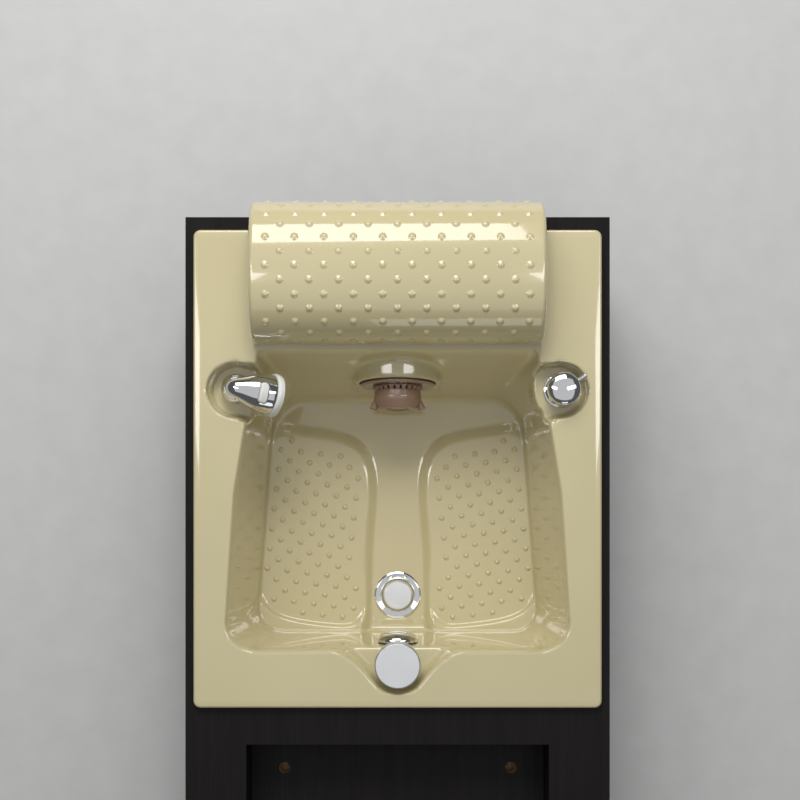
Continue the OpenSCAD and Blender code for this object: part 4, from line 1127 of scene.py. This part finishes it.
def button_block(grow, bottom, top):
    """A block with round ends, as long and as wide as the button and a little more."""
    bm = bmesh.new()
    size = Matrix.Diagonal((BUTTON_WIDTH + 2 * grow, BUTTON_LENGTH + 2 * grow, top - bottom, 1))
    bmesh.ops.create_cube(bm, size=1, matrix=shift(BUTTON_AT, 0, (top + bottom) / 2) @ size)
    corners = [edge for edge in bm.edges if abs(edge.verts[0].co.z - edge.verts[1].co.z) > 1]
    bevel(bm, corners, 5, 6)
    return bm


pocket = button_block(1.1, 14, 40)
bmesh.ops.transform(pocket, matrix=in_head, verts=pocket.verts)
piece(carved(body, pocket), "sprayer_body", at_sprayer @ spin_about(HEAD_TURN, "Z"))

button = button_block(0, 18.5, BUTTON_TOP)
top_rim = [edge for edge in button.edges if min(vertex.co.z for vertex in edge.verts) > BUTTON_TOP - 0.1]
bevel(button, top_rim, 1.8, 4)
for step in (-10, -5, 0, 5, 10):
    whole = button.verts[:] + button.edges[:] + button.faces[:]
    bmesh.ops.bisect_plane(button, geom=whole, plane_co=(0, step, 0), plane_no=(0, 1, 0))
for vertex in button.verts:
    vertex.co.z -= (vertex.co.y / BUTTON_LENGTH * 2) ** 2 * 2.6 * (vertex.co.z > 22)
piece(button, "sprayer_button", at_head)

along_head = at_head @ spin_about(90, "Y")
collar = [(27, 58.2), (30.4, 58.2, 1), (31, 62, 2), (30, 68, 1.6), (27, 68, 0.8), (27, 58.2)]
turned("sprayer_collar", along_head, collar)
plate = lathe(eased([(0, 58.4), (26.7, 58.4), (26.7, 64.2, 1), (22, 65, 1.5), (0, 64.4)]))
nozzle = eased([(0, 64), (1.6, 64), (1.1, 66.6, 0.3), (0, 66.6)], 2)
nozzles = [
    (lathe(nozzle, 8), spin_about(360 * index / count, "Z") @ shift(reach, 0, 0))
    for reach, count in ((5, 5), (10.5, 10), (16, 16), (21, 20))
    for index in range(count)
]
piece(joined((plate, STILL), *nozzles), "sprayer_face", along_head)

# %% [markdown]
# ## Drain, plug, overflow and knob
#
# The drain's flange is a polished ring, dished so that water runs under the plug's edge. The plug is satin,
# slightly domed, and lifts on its stem. The overflow cap is a hollow chrome dome on the rear wall with a gap
# under its lip. The knob that works the plug is a solid satin disc on a narrower neck.

# %% Drain, plug, overflow and knob
foot, top, flange_radius, at_drain = upright("drain_flange")
seat = top - 3
turned(
    "drain_flange",
    at_drain,
    [(20.4, foot), (24, foot), (24, seat), (flange_radius, seat), (flange_radius, top - 1.7, 1.1)]
    + [(flange_radius - 3.2, top, 2.4), (flange_radius - 9, top - 1.4, 5), (23.4, top - 2.8, 0.4)]
    + [(22.6, top - 4), (20.4, top - 4), (20.4, foot)],
)
foot, top, plug_radius, _ = upright("drain_plug")
plug = eased(
    [(0, top), (7, top - 0.05), (13, top - 0.2), (20.5, top - 0.6, 1), (plug_radius, top - 2.2, 1)]
    + [(plug_radius, top - 5.8, 0.8), (20, top - 6), (4, top - 6), (4, foot), (0, foot)]
)
satin_plug = finish("satin_plug", lathe_turned("drain_plug"), Metallic=1.0)
piece(lathe(plug), "drain_plug", at_drain, satin_plug)

low, high, middle = in_tub("overflow_cap")
cap_radius = (high.x - low.x) / 2
seat = high.y - 16
at_cap = TUB @ shift(middle.x, seat, middle.z) @ spin_about(-90, "X")
lip = [(cap_radius, 3), (cap_radius, 0, 0.9), (cap_radius - 2.5, 0, 0.9), (cap_radius - 2.5, 3)]
dome = oval(cap_radius, 13, 3)[:-1] + eased(lip)[:-1] + oval(cap_radius - 2.5, 10.5, 3)[::-1]
stem = eased([(9.5, -12), (12, -12, 0.5), (12, 12), (9.5, 12), (9.5, -12)])
piece(joined((lathe(dome), STILL), (lathe(stem, 40), STILL)), "overflow_cap", at_cap)

foot, top, knob_radius, at_knob = upright("drain_knob")
skirt = top - 20
NECK_FOOT = -31.6
knob = eased(
    [(0, top), (10, top), (knob_radius - 1.8, top, 0.7), (knob_radius, top - 1.8, 1.2)]
    + [(knob_radius, skirt, 1), (knob_radius - 3, skirt), (29, skirt + 2), (19, skirt + 2)]
    + [(19, NECK_FOOT), (5, NECK_FOOT), (5, foot + 4.5), (12, foot + 4.5), (12, foot), (0, foot)]
)
piece(lathe(knob, 96), "drain_knob", at_knob)

# %% [markdown]
# ## The jet
#
# The pipeless jet is smoky brown plastic. Its flange clamps a black gasket to the wall. A cap covers the
# impeller: water is drawn in through the slots round its foot and thrown out through two splayed nozzles.
# The cap is turned, its slots and front holes are cut, and the hollow nozzles are joined to its sides.

# %% The jet
JET_SEAT = (0, 125, -92)
face_way = Vector((0, -math.cos(JET_TILT), math.sin(JET_TILT)))
at_jet = TUB @ shift(*JET_SEAT) @ face_way.to_track_quat("Z", "Y").to_matrix().to_4x4()
turned(
    "jet_flange",
    at_jet,
    [(26, -24), (30, -24), (30, 1.5), (54.6, 1.5, 0.5), (55, 3.4, 1), (52, 5.5, 2), (40, 5.2)]
    + [(39, 4.6), (26, 4.6), (26, -24)],
)
CAP_RADIUS, CAP_FOOT, CAP_FRONT = 36, 5.8, 38.8
cap = lathe(
    eased(
        [(CAP_RADIUS - 4, CAP_FOOT), (CAP_RADIUS, CAP_FOOT), (CAP_RADIUS, CAP_FOOT + 3, 1)]
        + [(33.5, CAP_FOOT + 5, 1), (35.5, CAP_FOOT + 19, 12), (27, CAP_FRONT, 6), (18.5, CAP_FRONT, 1)]
        + [(17, CAP_FRONT - 1.6, 0.5), (0, CAP_FRONT - 1.6), (0, CAP_FRONT - 4), (16, CAP_FRONT - 4)]
        + [(26, CAP_FOOT + 22), (30.5, CAP_FOOT + 6), (30.5, CAP_FOOT), (CAP_RADIUS - 4, CAP_FOOT)]
    )
)
drills = [
    (lathe([(0, 30), (3, 30), (3, 50), (0, 50)], 24), spin_about(60 * index, "Z") @ shift(13, 0, 0))
    for index in range(6)
]
SLOTS = 24
for index in range(SLOTS):
    slot = bmesh.new()
    bmesh.ops.create_cube(slot, size=1, matrix=Matrix.Diagonal((12, 3.2, 5, 1)))
    drills.append((slot, spin_about(360 * (index + 0.5) / SLOTS, "Z") @ shift(33, 0, CAP_FOOT + 4)))
cap = carved(cap, joined(*drills))
horn = [(1.6, -12), (2.4, -12), (3.2, -6), (6.2, 7, 0.4), (5.2, 7, 0.4), (1.6, -5), (1.6, -12)]
nozzles = [
    (lathe(eased(horn), 32), spin_about(turn, "Z") @ shift(CAP_RADIUS - 2.5, 0, 31.4) @ spin_about(14, "Y"))
    for turn in (0, 180)
]
piece(joined((cap, STILL), *nozzles), "jet_cap", at_jet)

# %% [markdown]
# ## Boards with eased edges
#
# A laminated board has crisp edges that still catch a thin line of light, because the banding is rounded a
# little. Each board's own mesh is copied, its loose triangles are merged and its sharp edges bevelled by
# less than a millimetre. The door's pull and hinge leaves are treated the same way. The chair's bolt holes
# show the raw particle board that the drill left.

# %% Boards
EASED_ANGLE = math.radians(40)


def eased_board(node, radius, material=None):
    """A copy of a frame part with its sharp edges rounded."""
    bm = bmesh.new()
    bm.from_mesh(frame["nodes"][node].data)
    bmesh.ops.scale(bm, vec=(1 / MM,) * 3, verts=bm.verts)
    closed(bm)
    bmesh.ops.dissolve_limit(bm, angle_limit=math.radians(1), verts=bm.verts, edges=bm.edges)
    sharp = [edge for edge in bm.edges if len(edge.link_faces) == 2 and edge.calc_face_angle() > EASED_ANGLE]
    bevel(bm, sharp, radius, 2, clamp=True)
    return piece(bm, node, Matrix.Scale(MM, 4), material)


recess_low, recess_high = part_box("recess_floor")


def in_bolt_hole(face):
    """True for the walls of the holes, which stand upright well inside the board's own sides."""
    margin = 10 * MM
    inside_x = recess_low.x + margin < face.center.x < recess_high.x - margin
    inside_y = recess_low.y + margin < face.center.y < recess_high.y - margin
    return inside_x and inside_y and abs(face.normal.z) < 0.5


for board in ("deck_panel", "side_panel_left", "side_panel_right", "recess_walls"):
    eased_board(board, 0.7)
drilled = eased_board("recess_floor", 0.5).data
drilled.materials.append(FINISHES["chipboard"])
for face in drilled.polygons:
    if in_bolt_hole(face):
        face.material_index = 1
eased_board("front_panel", 0.7, grain_across)
eased_board("rear_panel", 0.7, grain_across)
eased_board("access_door", 0.9, grain_across)
eased_board("door_pull", 0.6)
eased_board("hinge_leaves", 0.3)
eased_board("door_leaves", 0.3)
